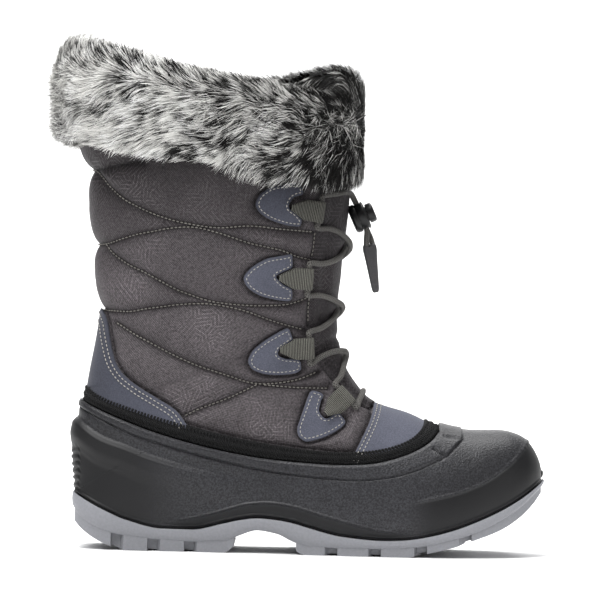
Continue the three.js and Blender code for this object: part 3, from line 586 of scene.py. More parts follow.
def frames_along(path, up):
    """Unit tangents, sideways and up axes along a path, kept from twisting."""
    tangent = unit_rows(np.gradient(path, axis=0))
    side = np.empty_like(path)
    last = np.cross(up, tangent[0])
    for i, t in enumerate(tangent):
        last = last - np.dot(last, t) * t
        last = last / np.linalg.norm(last)
        side[i] = last
    return tangent, side, np.cross(tangent, side)


def tube(path, radius, around=8):
    """A closed tube round a path, with UVs in metres along and round it."""
    tangent, side, top = frames_along(path, np.array([0.31, 0.2, 0.93]))
    angle = np.linspace(0, 2 * math.pi, around + 1)
    ring = side[:, None] * np.cos(angle)[None, :, None] + top[:, None] * np.sin(angle)[None, :, None]
    radius = np.broadcast_to(radius, len(path)).astype(float)
    points = path[:, None] + ring * radius[:, None, None]
    tips = [path[k] - sign * 0.3 * tangent[k] * radius[k] for k, sign in ((0, 1), (-1, -1))]
    caps = [np.tile(tip, (1, around + 1, 1)) for tip in tips]
    points = np.concatenate([caps[0], points, caps[1]])
    along = lengths(path)
    along = np.concatenate([[0], along, along[-1:]])
    uv = uv_grid(along, angle * radius.mean())
    return face_out(join([sheet(points, uv)], 0.001))


def linked(name, data):
    """A new object in the scene."""
    obj = bpy.data.objects.new(name, data)
    bpy.context.scene.collection.objects.link(obj)
    return obj


def piece(name, mesh, material, slot, *nodes, body="boot"):
    """Puts a finished mesh in the scene, on its body, with its finish."""
    mesh.name = name
    mesh.materials.clear()
    mesh.materials.append(material)
    mesh.shade_smooth()
    obj = linked(name, mesh)
    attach(obj, body)
    if nodes:
        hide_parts(*nodes)
    return obj


# ---------------------------------------------------------------- materials

# Pitches of the patterns on the cloths, in metres.
THREAD_PITCH, STROKE_PITCH = 0.0014, 0.0024
GIMP_PITCH, TAPE_PITCH, SHEATH_PITCH = 0.0011, 0.00102, 0.0014
# the painted shadow of the fur on the cloth runs between these heights
SHADE_HEIGHTS = (0.17, 0.235)  # where cloth starts to darken towards the fur, and where it is darkest


def linear(colour):
    """A shade from 0 to 255 as the shader's own linear colour."""
    c = np.array(colour, float) / 255
    return (*np.where(c <= 0.04045, c / 12.92, ((c + 0.055) / 1.055) ** 2.4), 1.0)


class Finish:
    """A material under construction, with its nodes joined as they are added."""

    def __init__(self, name, **constants):
        self.material = bpy.data.materials.new(name)
        self.material.use_nodes = True
        self.tree = self.material.node_tree
        self.shader = self.tree.nodes["Principled BSDF"]
        for socket, value in constants.items():
            self.shader.inputs[socket.replace("_", " ").title().replace("Ior", "IOR")].default_value = value

    def add(self, kind, settings=None, **inputs):
        node = self.tree.nodes.new(kind)
        for name, value in (settings or {}).items():
            setattr(node, name, value)
        for name, value in inputs.items():
            key = int(name[1:]) if name[0] == "i" and name[1:].isdigit() else name.replace("_", " ").title()
            self.join(value, node.inputs[key])
        return node

    def join(self, value, socket):
        if isinstance(value, bpy.types.NodeSocket):
            self.tree.links.new(value, socket)
        else:
            socket.default_value = value

    def coordinates(self, kind="Object"):
        return self.add("ShaderNodeTexCoord").outputs[kind]

    def noise(self, vector, scale, detail=3.0, roughness=0.5):
        node = self.add("ShaderNodeTexNoise", Vector=vector, Scale=scale, Detail=detail, Roughness=roughness)
        return node.outputs["Fac"]

    def maths(self, operation, *values):
        inputs = {f"i{k}": value for k, value in enumerate(values)}
        return self.add("ShaderNodeMath", {"operation": operation}, **inputs).outputs[0]

    def times(self, *values):
        product = values[0]
        for value in values[1:]:
            product = self.maths("MULTIPLY", product, value)
        return product

    def plus(self, one, other):
        return self.maths("ADD", one, other)

    def split(self, vector):
        return self.add("ShaderNodeSeparateXYZ", None, Vector=vector).outputs

    def spread(self, value, low, high, to_low=0.0, to_high=1.0):
        inputs = {"i0": value, "i1": low, "i2": high, "i3": to_low, "i4": to_high}
        return self.add("ShaderNodeMapRange", None, **inputs).outputs[0]

    def blend(self, factor, one, other, how="MIX"):
        node = self.add("ShaderNodeMix", {"data_type": "RGBA", "blend_type": how})
        for value, k in ((factor, 0), (one, 6), (other, 7)):
            self.join(value, node.inputs[k])
        return node.outputs[2]

    def shaded(self, colour, value):
        """A colour made darker or lighter by a value round 1."""
        grey = self.add("ShaderNodeCombineColor", None, i0=value, i1=value, i2=value).outputs[0]
        return self.blend(1.0, linear(colour), grey, "MULTIPLY")

    def attribute(self, name, output="Fac"):
        return self.add("ShaderNodeAttribute", {"attribute_name": name}).outputs[output]

    def bump(self, height, distance, strength=1.0):
        inputs = {"Height": height, "Distance": distance, "Strength": strength}
        return self.add("ShaderNodeBump", None, **inputs).outputs[0]

    def done(self, colour=None, roughness=None, normal=None):
        for value, name in ((colour, "Base Color"), (roughness, "Roughness"), (normal, "Normal")):
            if value is not None:
                self.join(value, self.shader.inputs[name])
        return self.material


def waves(finish, value, pitch):
    return finish.maths("SINE", finish.times(value, 2 * math.pi / pitch))


def painted_cuff_shadow(finish):
    """Painted shadow of the fur: cloth is painted darker towards the cuff, to 0.4 of its colour at the top.
    """
    height = finish.split(finish.coordinates())[2]
    return finish.spread(height, *SHADE_HEIGHTS, 1.0, 0.4)


def textile_finish(colour):
    """Woven nylon with faint embossed strokes; painted shade makes it lighter on its puffs and darker in its
    seams.
    """
    f = Finish(
        "quilted_textile", sheen_weight=0.04, sheen_roughness=0.4, sheen_tint=(0.9, 0.88, 0.9, 1),
        specular_ior_level=0.12,
    )
    uv, at = f.coordinates("UV"), f.coordinates()
    across, along, _ = f.split(uv)
    # a plain weave: two sets of rounded threads that pass over each other
    threads = f.times(waves(f, across, THREAD_PITCH), waves(f, along, THREAD_PITCH))
    # strokes in patches, each patch turned one of four ways
    cells = f.add("ShaderNodeTexVoronoi", {"voronoi_dimensions": "2D"}, Vector=uv, Scale=170.0)
    pick = f.add("ShaderNodeSeparateColor", None, Color=cells.outputs["Color"]).outputs[0]
    angle = f.times(f.maths("ROUND", f.times(pick, 4.0)), math.pi / 4)
    slanted = f.plus(f.times(across, f.maths("COSINE", angle)), f.times(along, f.maths("SINE", angle)))
    soft, fine = f.noise(at, 28.0), f.noise(at, 900.0, 2.0)
    faint = f.times(f.spread(waves(f, slanted, STROKE_PITCH), 0.35, 0.8), f.spread(soft, 0.42, 0.62))
    # painted shade: darker in the seams and lighter on the puffs, and painted shadow of the fur near the cuff
    value = f.times(
        f.spread(f.attribute("puff"), 0.0, 1.0, 0.2, 1.2), painted_cuff_shadow(f), f.spread(fine, 0.3, 0.7, 0.6, 1.4),
        f.spread(threads, -1.0, 1.0, 0.5, 1.5), f.spread(faint, 0.0, 1.0, 0.97, 1.6),
        f.spread(soft, 0.3, 0.7, 0.92, 1.08),
    )
    height = f.plus(f.times(threads, 0.5), f.times(faint, -0.6))
    return f.done(
        f.shaded(colour, value), f.spread(faint, 0.0, 1.0, 0.62, 0.48), f.bump(height, 0.00025, 0.8),
    )


def suede_finish(colour):
    """Synthetic suede with a short nap, darker round the heel and with painted shadow of the fur near the
    cuff.
    """
    f = Finish("synthetic_suede", sheen_weight=0.08, sheen_roughness=0.5, specular_ior_level=0.12)
    at = f.coordinates()
    fine, broad = f.noise(at, 1500.0, 2.0), f.noise(at, 60.0)
    grain = f.plus(f.spread(fine, 0.3, 0.7, -0.22, 0.22), f.spread(broad, 0.3, 0.7, -0.07, 0.07))
    # painted shadow of the fur darkens the suede near the cuff
    value = f.times(f.plus(grain, 1.0), painted_cuff_shadow(f), f.spread(f.split(at)[0], -0.12, -0.06, 0.6, 1.03))
    return f.done(f.shaded(colour, value), 0.78, f.bump(fine, 0.0002, 0.5))


def shell_finish(colour):
    """Moulded rubber, pebbled over the foot with painted sheen there, smoother towards the sole, darker at
    the heel and the toe.
    """
    f = Finish("shell_rubber", specular_ior_level=0.28)
    at = f.coordinates()
    cells = f.add("ShaderNodeTexVoronoi", {"feature": "SMOOTH_F1"}, Vector=at, Scale=900.0, Smoothness=0.4)
    rough, broad = f.attribute("pebbled"), f.noise(at, 22.0)
    specks = f.spread(f.noise(at, 900.0, 2.0, 0.75), 0.38, 0.62, 0.5, 1.5)
    along = f.split(at)[0]
    # painted sheen: the pebbled zone's colour is painted up to 2.6 times lighter than the smooth zone's
    value = f.times(
        f.spread(rough, 0.0, 1.0, 1.1, 2.9), f.spread(broad, 0.3, 0.7, 0.88, 1.12),
        f.plus(f.times(f.maths("SUBTRACT", specks, 1.0), rough), 1.0),
        f.spread(along, -0.14, -0.08, 0.55, 1.0), f.spread(along, 0.06, 0.11, 1.0, 0.72),
    )
    height = f.plus(f.times(cells.outputs["Distance"], rough), f.times(f.noise(at, 1800.0, 2.0), 0.15))
    gloss = f.plus(f.spread(rough, 0.0, 1.0, 0.5, 0.44), f.spread(broad, 0.3, 0.7, -0.03, 0.03))
    return f.done(f.shaded(colour, value), gloss, f.bump(height, 0.0003, 0.7))


def plain_finish(name, colour, roughness, grain=0.15, scale=900.0, depth=0.00012, **constants):
    """A finish with fine mottling and a slight grain."""
    f = Finish(name, **constants)
    at = f.coordinates()
    fine, broad = f.noise(at, scale, 2.0), f.noise(at, scale / 25)
    value = f.plus(
        f.spread(fine, 0.3, 0.7, 1 - grain, 1 + grain), f.spread(broad, 0.3, 0.7, -grain / 3, grain / 3),
    )
    rough = f.spread(broad, 0.3, 0.7, roughness - 0.05, roughness + 0.05)
    return f.done(f.shaded(colour, value), rough, f.bump(fine, depth, 0.5))


def thread_finish(name, colour, dark, pitch, slant, contrast=0.6):
    """Braided or ribbed threads along the piece's own UV, with painted highlight on their tops and painted
    shade between them.
    """
    f = Finish(name, sheen_weight=0.03, sheen_roughness=0.4, specular_ior_level=0.14)
    along, across, _ = f.split(f.coordinates("UV"))
    height = waves(f, f.plus(along, f.times(across, slant)), pitch)
    if slant:
        other = waves(f, f.maths("SUBTRACT", along, f.times(across, slant)), pitch)
        height = f.maths("MAXIMUM", height, other)
    fine = f.noise(f.coordinates(), 2500.0, 2.0)
    # painted highlight on the threads' tops and painted shade in the grooves between them
    shade = f.plus(f.spread(height, -1.0, 1.0, 0.0, 1.0), f.spread(fine, 0.3, 0.7, -0.2, 0.2))
    shade = f.times(f.spread(shade, 1 - contrast - 0.4, 1.0), painted_cuff_shadow(f))
    return f.done(f.blend(shade, linear(dark), linear(colour)), 0.72, f.bump(height, 0.00025, 0.8))


def hair_finish(name):
    """Fibres coloured strand by strand."""
    f = Finish(name, roughness=0.6, specular_ior_level=0.06)
    return f.done(f.attribute("strand", "Color"))


FINISHES = {}


def finishes(colours):
    """Makes each finish once, from the colours that the panel shows."""
    if FINISHES:
        return FINISHES

    def shade(name):
        return [255 * c for c in getattr(colours, name)]

    black = (16, 16, 17)
    FINISHES.update(
        textile=textile_finish(shade("textile")),
        suede=suede_finish(shade("suede")),
        shell=shell_finish(shade("shell")),
        sole=plain_finish("sole_rubber", shade("sole"), 0.55, 0.06, 700.0, 0.0001, specular_ior_level=0.4),
        felt=plain_finish("felt", (44, 44, 46), 0.95, 0.35, 1200.0, 0.0004),
        fleece=plain_finish("fleece", (120, 118, 114), 0.95, 0.3, 700.0, 0.0008, sheen_weight=0.4),
        gimp=thread_finish("gimp", (41, 41, 42), (2, 2, 2), GIMP_PITCH, 0.9, 0.1),
        webbing=thread_finish("webbing", (122, 121, 114), (5, 5, 5), TAPE_PITCH, 0.0),
        cord=thread_finish("elastic_cord", (104, 102, 99), (34, 33, 32), SHEATH_PITCH, 0.62, 0.5),
        stitch=plain_finish("stitching", (158, 155, 148), 0.6, 0.1),
        dark_stitch=plain_finish("dark_stitching", (122, 119, 113), 0.7, 0.1),
        lock=plain_finish("lock_plastic", black, 0.36, 0.05, 300.0, 0.00002, specular_ior_level=0.3),
        tab=plain_finish("tab_plastic", (52, 51, 53), 0.5, 0.12, 900.0, 0.0001),
        hair=hair_finish("fur"),
        underfur=plain_finish("underfur", (40, 39, 38), 0.95, 0.3),
    )
    return FINISHES


# ---------------------------------------------------------------- seams and coverings

# Quilting seams of one side, in the side view, from the back to the throat.
QUILT_SEAMS = [
    [(-140, 231), (-128, 232), (-112, 235), (-97, 238)],
    [(-140, 231), (-128, 232), (-118, 222), (-108, 214), (-98, 209), (-88, 205), (-78, 202), (-68, 200),
     (-50, 198), (-30, 199.5), (-10, 198), (10, 197)],
    [(-136, 187), (-120, 187), (-110, 190), (-100, 193), (-90, 195), (-80, 197), (-65, 198), (-50, 195),
     (-40, 192), (-30, 189), (-20, 187), (-10, 185), (0, 181.5), (8, 180)],
    [(-120, 187), (-115, 181), (-105, 174.5), (-95, 170), (-85, 165), (-75, 160), (-65, 156.5), (-55, 153.5),
     (-45, 152), (-25, 151), (-8, 152), (0, 154), (7, 157)],
    [(-132, 147.5), (-120, 146.5), (-103, 146), (-95, 147.5), (-85, 149), (-70, 151), (-55, 151.5),
     (-40, 149.5), (-30, 147), (-20, 143.5), (-10, 140.5), (5, 137)],
    [(-112, 139), (-100, 132), (-90, 127), (-80, 122), (-70, 117.5), (-60, 113.5), (-50, 110.5), (-40, 107.5),
     (-30, 104.5), (-20, 103.5), (0, 106.5), (10, 110.5), (14, 112.5)],
    [(-68, 83), (-60, 87), (-50, 91), (-40, 95), (-30, 100), (-22, 104)],
]
LOWER_BRANCH = [(-20, 103), (0, 102), (20, 102)]
THROAT_SEAMS = [[(10, 197), (9.4, 188), (8, 180)], [(7.5, 157), (7, 148), (7, 140)]]

# The suede patches that hold the webbing loops, from the lowest up, each open towards the throat.
PATCHES = [
    [(9, 100), (13, 99.5), (17, 97.5), (15, 93), (14, 87), (18, 82.5), (24, 86), (27, 86), (31, 81), (27, 77),
     (20, 73), (12, 70), (6, 69), (2, 72), (1, 77), (4, 86), (7, 95)],
    [(-5, 138), (-10, 136), (-20, 130), (-27, 124), (-30, 117), (-27, 112), (-20, 109.5), (-10, 109),
     (0, 110.5), (3, 113), (1.5, 119), (-8, 119.5), (-12, 121.5), (-11, 125), (-6, 128.5), (-3, 131)],
    [(-4, 183), (-10, 182), (-20, 180), (-29, 174.5), (-34, 168), (-31, 162), (-24, 157.5), (-14, 155),
     (-4, 154.5), (-4, 162), (-10, 165), (-14.5, 169.5), (-10, 172), (-4, 175)],
    [(0, 226), (-8, 226), (-18, 224), (-25, 219), (-27.5, 213), (-25, 208), (-18, 203.5), (-8, 200.5),
     (0, 200), (1, 204), (-3, 208.5), (-7, 211), (-7, 214), (-4, 218), (2, 220)],
]


def round_outline(points):
    """A closed outline with its corners softened."""
    p = np.asarray(points, float)
    cut = np.stack([p * 0.82 + np.roll(p, k, 0) * 0.18 for k in (1, -1)], 1).reshape(-1, 2)
    looped = np.vstack([cut[-2:], cut, cut[:2]])
    line = smooth_line(looped, 4)
    return line[8:-8]


def inside(points, outline):
    """Whether points of the side view are inside a closed outline."""
    x, z = points[..., 0], points[..., 1]
    within = np.zeros(x.shape, bool)
    for (x0, z0), (x1, z1) in zip(outline, np.roll(outline, -1, 0)):
        if z0 == z1:
            continue
        crosses = (z0 > z) != (z1 > z)
        within ^= crosses & (x < x0 + (z - z0) * (x1 - x0) / (z1 - z0))
    return within


def nearest(points, samples):
    """How far each point is from the nearest sample, and which that is."""
    tree = KDTree(len(samples))
    for i, p in enumerate(samples):
        tree.insert(p, i)
    tree.balance()
    found = [tree.find(p)[1:] for p in points]
    return np.array([f[1] for f in found]), np.array([f[0] for f in found])


SEAM_APART = 977.0  # numbers one seam's folds far from the next one's, so that they differ


def off_lines(points, lines, step, **shape):
    """How far each point is from the nearest of some lines of the side view, laid on both sides."""
    laid = [wrap(line, side, step, **shape) for line in lines for side in SIDES]
    return nearest(points, np.concatenate(laid))[0]


def quilt_depth(points, sizes):
    """How far the textile stands out: it puffs between its seams and lies flat under what covers it.
    Also how open each point is, from 0 in a seam to 1 away from it, which the textile uses for painted shade."""
    side_view = points[:, [0, 2]]
    outlines = [round_outline(p) for p in PATCHES]
    seams = [*QUILT_SEAMS, LOWER_BRANCH, *THROAT_SEAMS]
    seams += [COUNTER_EDGE, TOE_OVERLAY_EDGE, BINDING_HIGH, THROAT_EDGE]
    rings = [even_line(np.vstack([o, o[:1]]), 1.0) for o in outlines]
    lines = [wrap(line, side, 1.0) for line in seams for side in SIDES]
    lines += [on_form(*ring.T, side) for ring in rings for side in SIDES]
    along = np.concatenate([np.arange(len(line)) + SEAM_APART * k for k, line in enumerate(lines)])
    distance, index = nearest(points, np.concatenate(lines))
    rise = 1 - np.exp(-distance / sizes.quilt_slope)
    # short folds run out from each seam, where the thread gathers the cloth
    gathers = lattice(along[index][:, None], 5.5, 3) * np.exp(-distance / 6) * smoothstep(0, 2.5, distance)
    dents = lattice(points, 26, 5) * 0.7 + lattice(points * [1, 1, 1.8], 12, 9) * 0.3
    height = sizes.quilt_depth * (rise - 0.43) + 0.6 * gathers + dents * rise
    covered = np.zeros(len(points), bool)
    for outline in outlines:
        covered |= inside(side_view, outline)
    station = station_of(side_view[:, 0], side_view[:, 1])
    reach = reach_of(side_view[:, 0], side_view[:, 1])
    covered |= reach > np.interp(station, *reach_table(BINDING_HIGH)) - 0.5
    counter = np.vstack([smooth_line(COUNTER_EDGE, 4), [(-150, 60)]])
    toe = np.vstack([smooth_line(TOE_OVERLAY_EDGE, 4), [(100, 100), (100, 50)]])
    covered |= inside(side_view, counter) | inside(side_view, toe)
    cuff_foot = np.interp(side_view[:, 0], [-130, -90, -40, 0, 30], [256, 246, 238, 234, 238])
    tucked = smoothstep(-4, 4, side_view[:, 1] - cuff_foot)
    height = np.where(covered, -0.9 - 0.7 * np.exp(-distance / 2), height)
    return height * (1 - tucked) - 0.9 * tucked, np.where(covered, 1, 1 - np.exp(-distance / 1.6))


# ---------------------------------------------------------------- pieces of the lower


def sole_top_line():
    x = np.arange(-150, 161, 2.0)
    return np.column_stack([x, column(SOLE_SIDE, "top", x)])


def shell_sheets(step, columns, grow, lift=0.0, crowd=0.0):
    """Both sides of the shell's face or back, from the binding's lower edge to the sole."""
    top = raised_line(BINDING_LOW, -GAP)
    bottom = raised_line(sole_top_line(), lift)
    shape = {"grow": grow, "shell": True}
    dense = np.linspace(45, 80, 1400)
    heel, last = (dense[np.argmax(turn_at(dense, line, **shape) >= math.pi - 1e-3)] for line in (bottom, top))
    station = even_stations(-80.6, last, step, **shape)
    busy = (station < -74) | ((station > -36) & (station < -8)) | (station > last - 3)
    station = station[busy | (np.arange(len(station)) % 2 == 0)]
    # the sole's line meets the back's middle steeply, so stations crowd just below that place
    crowded = heel - np.array([0, 0.03, 0.1, 0.22, 0.4, 0.65, 1.0, 1.4, 1.9])
    station = np.unique(np.concatenate([station, crowded]))
    low = np.where(station < -22, 0, turn_at(station, top, **shape))
    high = turn_at(station, bottom, **shape)
    low = np.minimum(low, high)
    turn = even_turns(station, low, high, columns, crowd=crowd, **shape)
    # ahead of the opening the columns draw gradually towards the ones beside it
    opening = int(np.argmax(low > 0))
    fade = smoothstep(0, 0.25, np.linspace(0, 1, columns))
    drawn = turn[opening] / turn[opening, -1] * fade * turn[:opening, -1:]
    near = smoothstep(station[opening] - 18, station[opening] - 1, station[:opening])[:, None]
    turn[:opening] += (drawn - turn[:opening]) * near
    meshes = []
    for side in SIDES:
        points = surface(station[:, None], side * turn, **shape)
        points[0] = points[0].mean(axis=0)
        points[0, :, 1] = WIDTHS["lean"][0]
        meshes.append(sheet(points))
    return join(meshes)


def bead(distance, width):
    return np.exp(-((distance / width) ** 2))


SHELL_BAND_LOW = [
    (-142, 92), (-136, 88), (-120, 80), (-100, 71), (-80, 65), (-60, 59.5), (-40, 55), (-20, 51), (0, 48.5),
    (20, 47), (40, 46.5), (60, 49), (75, 53.5), (84, 57.6), (90.5, 60.4),
]
SHELL_NOTCHES = [
    [(84.6, 65.8), (88.4, 63.8), (92.7, 61.7)], [(92.7, 61.7), (97.8, 66.8), (102.8, 71.9)],
    [(102.8, 71.9), (96.6, 72.7), (91.4, 73.4)],
]
TOE_TAB = [(84, 66.1), (92.7, 61.7), (102.8, 71.9), (101.5, 90), (80, 90), (80, 66)]
HEEL_RIDGE = [
    (-142, 83), (-135.5, 80.3), (-119.5, 69.8), (-103, 64), (-88.7, 58.7), (-71, 53.9), (-49, 48.2),
    (-26, 43.1),
]
HEEL_LOW_RIDGE = [
    (-142, 67), (-136.3, 63.8), (-130, 59.2), (-121.8, 53.7), (-112, 50.1), (-104, 47.5), (-90, 42),
]
ARCH_RIDGE = [
    (-80, 18), (-60, 21.5), (-40, 27), (-30, 30), (-15, 31.3), (0, 29.5), (20, 24), (40, 19), (55, 16),
    (80, 15),
]
TOE_RIDGE = [
    (68, 32.5), (80, 35), (100, 40), (115, 46), (125, 52), (135, 60), (142, 68), (144.5, 72), (145.5, 80),
]


def above(points, line):
    """How far points of the side view stand above a line that runs along the foot."""
    line = smooth_line(line, 6)
    order = np.argsort(line[:, 0])
    return points[:, 2] - np.interp(points[:, 0], line[order, 0], line[order, 1])


def shape_shell(mesh):
    """Bands, ridges and grooves of the moulding. Rises are in mm, and so are the fades' places."""
    points = read_points(mesh)
    x, z = points[:, 0], points[:, 2]

    def off(*lines):
        return off_lines(points, lines, 0.8, grow=SHELL_FACE, shell=True)

    # the raised band along the top, the tab over the toes and the groove under both
    groove = off(SHELL_BAND_LOW, *SHELL_NOTCHES)
    raised = np.where(above(points, SHELL_BAND_LOW) > 0, smoothstep(92, 86, x), 0)
    raised = np.maximum(raised, inside(points[:, [0, 2]], np.array(TOE_TAB)))
    height = raised * (1 - np.exp(-groove / 0.6)) - 1.1 * bead(groove, 0.6)
    # the heel's stepped band between its two ridges
    below = -above(points, HEEL_RIDGE)
    band_foot = smoothstep(-1.2, 1.4, above(points, HEEL_LOW_RIDGE)) + smoothstep(-112, -92, x)
    bevel = np.clip((below + 0.3) / 3.2, 0, 1) * smoothstep(20, 9, below) * np.clip(band_foot, 0, 1)
    hollow = smoothstep(-7, -1.4, below) * smoothstep(0.6, -1.0, below)
    height += smoothstep(-22, -70, x) * (0.35 * bead(off(HEEL_RIDGE), 1.0) + 2.3 * bevel - 0.5 * hollow)
    height += 0.4 * bead(off(HEEL_LOW_RIDGE), 1.1) * smoothstep(-88, -112, x)
    # the ridge over the arch, and the hollow under it
    arch = 1.0 * bead(off(ARCH_RIDGE), 0.8) - 0.5 * smoothstep(0, -1.2, above(points, ARCH_RIDGE))
    height += smoothstep(-84, -60, x) * smoothstep(84, 55, x) * arch
    # the toe bumper
    toe_fade = smoothstep(66, 88, x)
    under_toe = smoothstep(0, 1.5, -above(points, TOE_RIDGE)) * toe_fade
    height += 0.7 * bead(off(TOE_RIDGE), 0.8) * toe_fade - 0.4 * under_toe
    # the lip and the groove along the sole, the pull ribs of the heel and the groove under the binding
    lip, gap = (bead(off(raised_line(sole_top_line(), up)), width) for up, width in ((2.4, 0.8), (0.9, 0.7)))
    height += 0.8 * lip * smoothstep(156, 146, x) - 1.1 * gap
    height += np.where((x < -132) & (z > 36) & (z < 62), 0.7 * np.sin(z * 2 * math.pi / 4.2), 0)
    height -= 0.7 * bead(off(raised_line(BINDING_LOW, -0.5)), 0.9)
    smooth_zone = np.maximum.reduce([
        smoothstep(2, -4, above(points, ARCH_RIDGE)) * smoothstep(-90, -60, x) * smoothstep(90, 60, x),
        under_toe, smoothstep(-60, -100, x) * smoothstep(2, -2, above(points, HEEL_RIDGE)),
    ])
    push_out(mesh, height)
    # the pebbled zone also gets painted sheen in the shell's finish
    set_value(mesh, "pebbled", 1 - smooth_zone)
    return mesh


def turn_normals_out(mesh):
    """Makes all faces of an open sheet look outwards."""
    face_out(mesh)
    points, normals = read_points(mesh), read_normals(mesh)
    if np.einsum("ij,ij->i", points - points.mean(axis=0), normals).mean() < 0:
        mesh.flip_normals()
        mesh.update()
    return mesh


def sole_outline(lip, count=420):
    """Where the sole's rim runs in plan, as pairs of outer and inner points from toe to heel."""
    shape = {"grow": SHELL_FACE + lip, "shell": True}
    line = sole_top_line()
    dense = np.linspace(45, 72, 1200)
    heel = dense[np.argmax(turn_at(dense, line, **shape) >= math.pi - 1e-4)]
    toe_end = np.linspace(-80.6, -60, 1200)
    toe = toe_end[np.argmax(turn_at(toe_end, line, **shape) < math.pi - 1e-4)]
    station = toe + (heel - toe) * ends_dense(3000, 3)
    turn = turn_at(station, line, **shape)
    sides = [surface(station, side * turn, **shape)[:, :2] for side in SIDES]
    middle = (sides[0] + sides[1]) / 2
    for side in sides:
        side[0], side[-1] = middle[0], middle[-1]
    gaps = np.maximum(*(np.linalg.norm(np.diff(s, axis=0), axis=1) for s in sides))
    along = np.concatenate([[0], np.cumsum(gaps)])
    at = np.linspace(0, along[-1], count)
    return [sample(s, along, at) for s in sides]


def offset_outline(sides, by):
    """The plan outline moved outwards by some millimetres."""
    loop = np.vstack([sides[0], sides[1][::-1][1:-1]])
    ahead = np.roll(loop, -2, 0) - np.roll(loop, 2, 0)
    normal = unit_rows(np.column_stack([ahead[:, 1], -ahead[:, 0]]))
    if np.mean(np.einsum("ij,ij->i", normal, loop - loop.mean(0))) < 0:
        normal = -normal
    moved = loop + normal * by
    count = len(sides[0])
    return moved[:count], np.vstack([moved[:1], moved[count:][::-1], moved[count - 1 : count]])


def sole_base():
    """The sole's foot-shaped base: a rim with a soft bulge, and the ground between the lugs."""
    rim = sole_outline(1.2)
    rows = [
        (-5, "top", -1.5), (-1.6, "top", 0.1), (-0.5, "top", 0.0), (0, "top", -1.0), (0.25, "mid", 0.0),
        (0, "ledge", 1.2), (-0.5, "ledge", 0.5), (-1.3, "ledge", 0.1), (-3.2, "ledge", 0.2),
        (-9, "ledge", 1.4),
    ]
    outer, inner = [], []
    for by, level, lift in rows:
        for side, target in zip(offset_outline(rim, by), (outer, inner)):
            x = side[:, 0]
            top, ledge = column(SOLE_SIDE, "top", x), column(SOLE_SIDE, "ledge", x)
            z = {"top": top, "ledge": np.minimum(ledge, top - 1.5), "mid": (top + ledge) / 2}[level] + lift
            target.append(np.column_stack([side, z]))
    ring = np.array(outer + inner[::-1] + outer[:1]).transpose(1, 0, 2)
    return face_out(join([sheet(pinched(ring))], 0.02))


# Lugs from heel to toe: where each one's outer wall starts and ends. slant is the length of its
# chamfered corner, ahead of it when positive and behind it when negative.
LUG_MIDDLE, LUG_CORNER = 3.2, 9  # a lug's inner end, off the middle, and its corner's depth
LUG_FIELDS = "start end slant"
HEEL_LUGS = table(LUG_FIELDS, (-134.5, -111.4, 0), (-107.6, -88.9, -4), (-85.1, -66.4, -4), (-62.6, -36, -4))
FORE_LUGS = table(
    LUG_FIELDS, (2, 23.4, 4), (27.2, 49.9, 4), (53.7, 77.9, 4), (81.7, 105.1, 4), (108.9, 152.5, 0),
)


def lug_plan(lug, rim, side):
    """A lug's outline in plan: its outer wall follows the sole's rim, with its corners cut off."""
    outline = rim[0 if side == OUTER else 1]
    order = np.argsort(outline[:, 0])
    xs, ys = outline[order, 0], outline[order, 1]
    x0, x1 = max(lug.start, xs[0] + 0.2), min(lug.end, xs[-1] - 0.2)
    a, b = x0 + max(-lug.slant, 0), x1 - max(lug.slant, 0)
    wall_x = np.append(np.arange(a, b, 1.6), b)
    wall_y = np.interp(wall_x, xs, ys)
    plan = [(x0, side * LUG_MIDDLE)]
    if a > x0:
        plan.append((x0, wall_y[0] - side * LUG_CORNER))
    plan += zip(wall_x, wall_y)
    if b < x1:
        plan.append((x1, wall_y[-1] - side * LUG_CORNER))
    plan.append((x1, side * LUG_MIDDLE))
    least = [LUG_MIDDLE, *[LUG_MIDDLE + 0.2] * (len(plan) - 2), LUG_MIDDLE]
    return [(x, side * max(y * side, nearest_in)) for (x, y), nearest_in in zip(plan, least)]


def tread_block(plan, lift=0.0):
    """A block of the tread, drawn down from its outline in plan, with its lower edges rounded."""
    bm = bmesh.new()
    bm.faces.new([bm.verts.new((x * MM, y * MM, 0)) for x, y in plan])
    x0, x1 = min(p[0] for p in plan), max(p[0] for p in plan)
    for cut in np.arange(x0 + 5, x1 - 3, 5.5):
        slice_at(bm, (cut * MM, 0, 0), (1, 0, 0))
    top = extruded(bm)
    for v in bm.verts:
        tread, ledge = (float(column(SOLE_SIDE, name, v.co.x / MM)) for name in ("tread", "ledge"))
        v.co.z = (ledge + 2.2 if v in top else tread + lift) * MM
    bmesh.ops.recalc_face_normals(bm, faces=bm.faces)
    low_edges = [e for e in bm.edges if len(e.link_faces) == 2 and not top.issuperset(e.verts)]
    floor_edges = [e for e in low_edges if e.calc_face_angle(0) > 0.5]
    round_edges(bm, floor_edges, 0.55, 2)
    return mesh_from(bm)


def outsole_mesh():
    """The sole's base, its lugs on both sides and a lower block that joins them along the middle."""
    rim = offset_outline(sole_outline(1.2), -0.7)
    meshes = [sole_base()]
    for side in SIDES:
        meshes += [tread_block(lug_plan(lug, rim, side)) for lug in HEEL_LUGS + FORE_LUGS]
    core = offset_outline(sole_outline(1.2), -5)
    for lugs in (HEEL_LUGS, FORE_LUGS):
        x = np.linspace(lugs[0].start + 9, lugs[-1].end - 9, 24)
        sides = [np.interp(x, *side[np.argsort(side[:, 0])].T) for side in core]
        plan = [*zip(x, np.minimum(sides[0], -3)), *zip(x[::-1], np.maximum(sides[1], 3)[::-1])]
        meshes.append(tread_block(plan, 1.0))
    return mesh_from(gathered(meshes))


